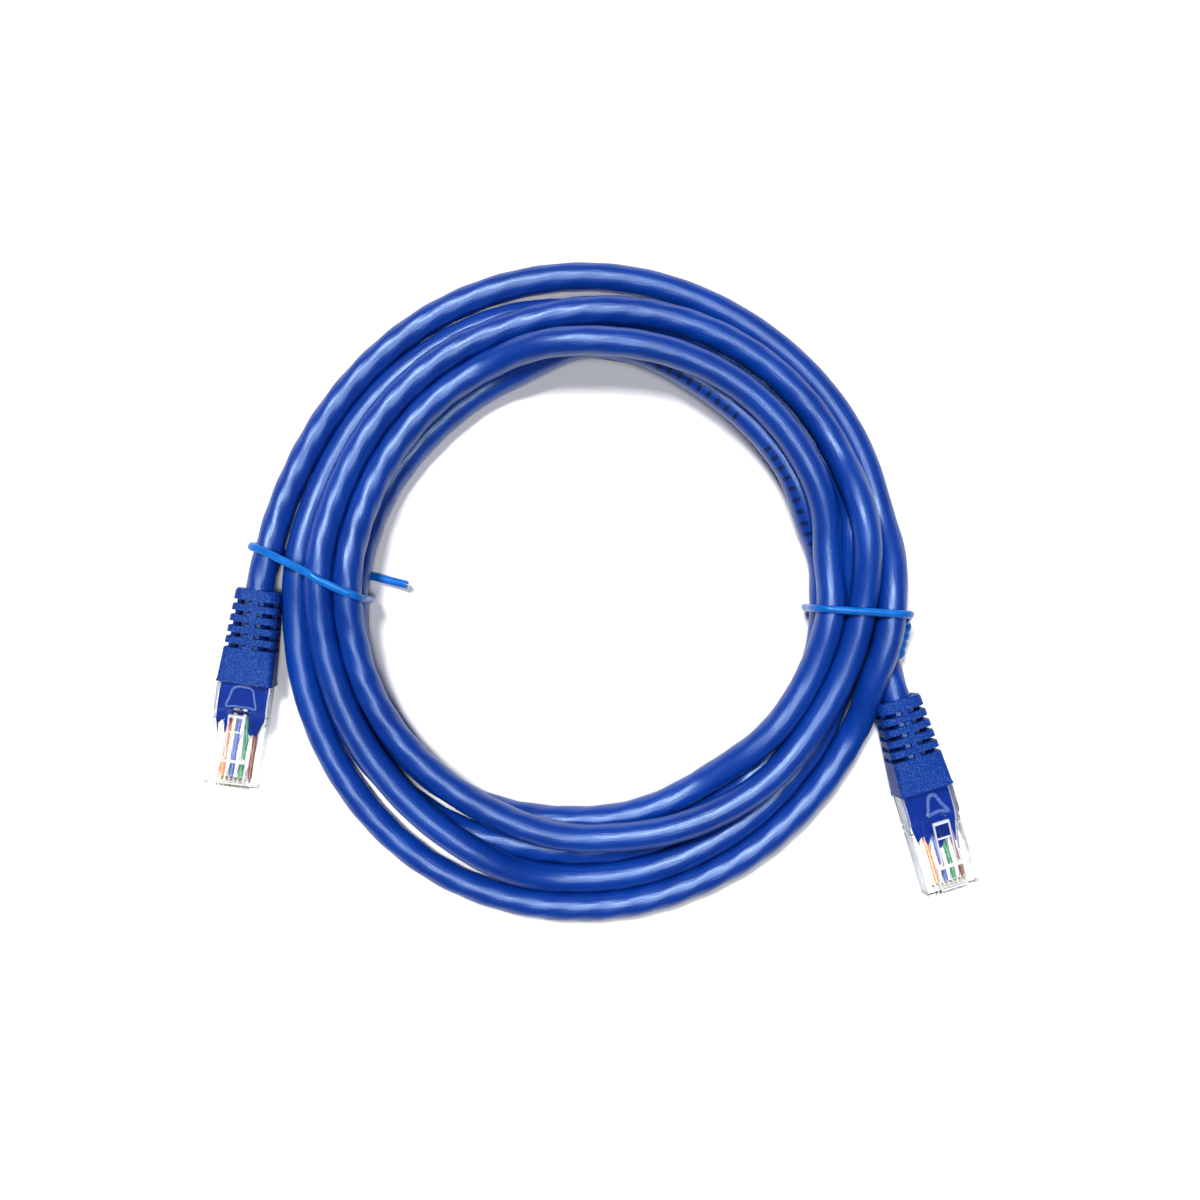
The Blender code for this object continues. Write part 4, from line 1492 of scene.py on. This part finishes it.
@dataclass
class Ties:
    """The two coated wire ties that hold the coil, drawn taut round the turns they cross."""

    cord: PatchCord
    finishes: Finishes
    left_outer: Flat = (-75.4 * MM, 9.8 * MM)
    left_inner: Flat = (-52.4 * MM, -0.6 * MM)
    left_tail: Flat = (-41.8 * MM, 1.5 * MM)
    left_hook: Flat = (-57.5 * MM, -2.6 * MM)
    right_inner: Flat = (46.8 * MM, -3.6 * MM)
    right_outer: Flat = (70.2 * MM, -5.2 * MM)
    twist_end: Point = (68.4 * MM, -14.6 * MM, 4.2 * MM)
    twist_turns: float = 2.1
    wire: float = 0.83 * MM
    core: float = 0.42 * MM
    ground: float = 1.0 * MM
    sway: tuple[float, ...] = (0.0, 0.9, 1.3, 0.9, -0.1, -0.5, 0.0)

    def crossings(self, outer: np.ndarray, inner: np.ndarray) -> np.ndarray:
        """Find where the cable crosses the upright plane through a tie.

        Args:
            outer: The tie's outer end in plan.
            inner: Its inner end in plan.

        Returns:
            A row of distance from the outer end and height for each turn.
        """
        reach = inner - outer
        length = np.linalg.norm(reach)
        along = reach / length
        side = np.array((-along[1], along[0]))
        flat = self.cord.line[:, :2] - outer
        off, run = flat @ side, flat @ along
        found = []
        for k in np.nonzero(off[:-1] * off[1:] <= 0)[0]:
            share = off[k] / (off[k] - off[k + 1])
            at = run[k] + share * (run[k + 1] - run[k])
            if -2 * CABLE_RADIUS < at < length + 2 * CABLE_RADIUS:
                found.append((at, self.cord.line[k, 2] * (1 - share) + self.cord.line[k + 1, 2] * share))
        return np.array(found)

    def round_turns(self, outer: np.ndarray, inner: np.ndarray) -> tuple[np.ndarray, np.ndarray]:
        """Wrap a taut loop round the turns.

        Args:
            outer: The tie's outer end in plan.
            inner: Its inner end in plan.

        Returns:
            The loop's run over the top, from the outer side to the inner, and back underneath.
        """
        turn = np.linspace(0, 2 * math.pi, 32, endpoint=False)
        ring = (CABLE_RADIUS + self.wire + 0.06 * MM) * np.stack((np.cos(turn), np.sin(turn)), axis=1)
        rings = (self.crossings(outer, inner)[:, None, :] + ring[None, :, :]).reshape(-1, 2)
        edge = hull(rings)
        edge[:, 1] = np.maximum(edge[:, 1], self.ground)
        along = (inner - outer) / np.linalg.norm(inner - outer)
        space = np.column_stack((outer + edge[:, :1] * along, edge[:, 1]))
        far = int(np.argmax(edge[:, 0]))
        under, over = space[: far + 1], np.vstack((space[far:], space[:1]))
        return over[::-1], under[::-1]

    def girth(self, along: np.ndarray, around: np.ndarray) -> np.ndarray:
        """Return the coating's radius: it is a little flat, and the flat side turns slowly."""
        return self.wire * (1 + 0.11 * np.cos(2 * around + 0.5 * np.sin(along / (9 * MM))))

    def wrap(self, name: str, line: np.ndarray, node: str) -> bpy.types.Object:
        """Sweep a tie's wire along its line and dress it.

        Args:
            name: The piece's name.
            line: Its points.
            node: The CAD node it stands for.

        Returns:
            The tie.
        """
        spread = evenly(line, spacing=1.6 * MM)
        even = evenly(smooth_line(spread, spacing=0.3 * MM), spacing=0.5 * MM)
        made = sweep(name, even, sides=16, radius=self.girth)
        self.finishes.dress(made, "tie_coating")
        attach(made, "root")
        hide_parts(node)
        return made

    def left(self) -> bpy.types.Object:
        """Build the left tie: tail, run underneath, slanted run over the top and hook.

        Returns:
            The tie.
        """
        outer, inner = np.array(self.left_outer), np.array(self.left_inner)
        over, _ = self.round_turns(outer, inner)
        along = (inner - outer) / np.linalg.norm(inner - outer)
        share = np.clip(((over[:, :2] - outer) @ along) / np.linalg.norm(inner - outer), 0, 1)
        shift = np.interp(share, np.linspace(0, 1, len(self.sway)), self.sway) * MM
        over[:, :2] += shift[:, None] * np.array((-along[1], along[0]))
        tail = np.array((*self.left_tail, 3.0 * MM))
        hook = np.array((*self.left_hook, self.ground))
        start = np.array((*(over[0][:2] * 0.94 + np.array(self.left_tail) * 0.06), self.ground))
        middle = np.array((-50.0 * MM, 3.5 * MM, self.ground))
        inside = np.array((*(over[-1][:2] * 0.8 + hook[:2] * 0.2), self.ground))
        line = np.vstack((tail, middle, start, over, inside, hook))
        made = self.wrap("wire_tie_left", line, "tie_left")
        ahead = (tail - middle) / np.linalg.norm(tail - middle)
        core = np.array([tail - 0.4 * MM * ahead, tail + 0.2 * MM * ahead, tail + 0.5 * MM * ahead])
        tip = sweep("tie_core_left", core, sides=10, radius=self.core)
        self.finishes.dress(tip, "steel_core")
        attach(tip, "root")
        return made

    def right(self) -> bpy.types.Object:
        """Build the right tie: a loop whose two ends are twisted together outside the coil.

        Returns:
            The tie.
        """
        outer, inner = np.array(self.right_outer), np.array(self.right_inner)
        over, under = self.round_turns(outer, inner)
        start = np.array((over[0][0] - 0.1 * MM, self.right_outer[1] - 1.6 * MM, 6.3 * MM))
        end = np.array(self.twist_end)
        ahead = (end - start) / np.linalg.norm(end - start)
        across = np.cross(ahead, (0, 0, 1))
        across /= np.linalg.norm(across)
        up = np.cross(across, ahead)
        ends = []
        for phase in (0.0, math.pi):
            share = np.linspace(0.0, 1.0, 25)[:, None]
            turn = phase + self.twist_turns * 2 * math.pi * share
            offset = 1.04 * self.wire * (across * np.sin(turn) + up * np.cos(turn))
            ends.append(start + (end - start) * share + offset)
        line = np.vstack((ends[0][::-1], over[1:], under[1:], ends[1]))
        return self.wrap("wire_tie_right", line, "tie_right")


# ----------------------------------------
# Studio


@dataclass
class Studio:
    """A plain pale floor, soft light from the upper left and the overhead camera."""

    camera_at: Point = (1.69 * MM, -1.91 * MM, 330.0 * MM)
    lens: float = 43.5
    window_at: Point = (-0.26, 0.40, 1.10)
    window_strength: float = 3.5
    window_angle: float = 12.8
    fill_at: Point = (0.10, -0.16, 1.35)
    fill_size: float = 0.26
    fill_power: float = 7.6
    floor_half: float = 2.0
    floor_drop: float = 0.02 * MM
    sky: float = 0.06
    backdrop: float = 0.80

    def camera(self) -> None:
        """Make the camera, which looks straight down."""
        data = bpy.data.cameras.new("camera")
        data.lens = self.lens
        data.sensor_width = 36.0
        data.clip_start = 0.01
        data.clip_end = 10.0
        made = placed("camera", data)
        made.location = self.camera_at
        bpy.context.scene.camera = made

    def floor(self) -> None:
        """Make the floor, just under the cable."""
        bm = bmesh.new()
        bmesh.ops.create_grid(bm, x_segments=1, y_segments=1, size=self.floor_half)
        bmesh.ops.translate(bm, verts=bm.verts, vec=(0, 0, -self.floor_drop))
        made = piece_from(bm, "floor")
        paint = bpy.data.materials.new("floor_paper")
        paint.use_nodes = True
        shader = paint.node_tree.nodes["Principled BSDF"]
        shader.inputs["Base Color"].default_value = (0.93, 0.93, 0.93, 1.0)
        shader.inputs["Roughness"].default_value = 0.9
        shader.inputs["Specular IOR Level"].default_value = 0.1
        made.data.materials.append(paint)

    def light(self, name: str, kind: str, at: Point, power: float) -> bpy.types.Light:
        """Add a light that faces the cable.

        Args:
            name: The light's name.
            kind: Its kind.
            at: Where it hangs, or a point in the direction that it comes from.
            power: Its power in watts, or in watts a square metre.

        Returns:
            The light's data.
        """
        data = bpy.data.lights.new(name, kind)
        data.energy = power
        made = placed(name, data)
        made.location = at
        made.rotation_euler = (-Vector(at)).to_track_quat("-Z", "Y").to_euler()
        return data

    def build(self) -> None:
        """Set up the camera, floor, lights and sky."""
        self.camera()
        self.floor()
        window = self.light("window_light", "SUN", self.window_at, self.window_strength)
        window.angle = math.radians(self.window_angle)
        fill = self.light("fill_lamp", "AREA", self.fill_at, self.fill_power)
        fill.shape = "SQUARE"
        fill.size = self.fill_size
        world = bpy.data.worlds.new("sky")
        bpy.context.scene.world = world
        world.use_nodes = True
        back = world.node_tree.nodes["Background"]
        back.inputs["Color"].default_value = (1.0, 1.0, 1.0, 1.0)
        tree = Tree(world.node_tree)
        seen = tree.node("ShaderNodeLightPath").outputs["Is Camera Ray"]
        tree.feed(back.inputs["Strength"], tree.span(seen, (self.sky, self.backdrop)))
        bpy.context.scene.view_settings.view_transform = "Standard"


def main() -> None:
    """Build the cable's looks round its frame, piece by piece."""
    logging.basicConfig(level=logging.INFO, format="%(name)s: %(message)s")
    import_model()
    Studio().build()
    finishes = Finishes()
    cord = PatchCord(finishes)
    tube = cord.build()
    pieces: dict[Tag, list[bpy.types.Object]] = {}
    for place in PLACES:
        pieces[place.tag] = [Boot(place, finishes).build(), *Plug(place, finishes).build()]
        LOG.info("plug %s: %d pieces", place.tag.value, len(pieces[place.tag]))
    ties = Ties(cord, finishes)
    for tie in (ties.left(), ties.right()):
        LOG.info("%s", tie.name)
    on_plug_b = [*pieces[Tag.B], bpy.data.objects["jacket_end_b"]]
    on_plug_b += [bpy.data.objects[f"contact_b{number}"] for number in CONTACTS]


if __name__ == "__main__":
    main()
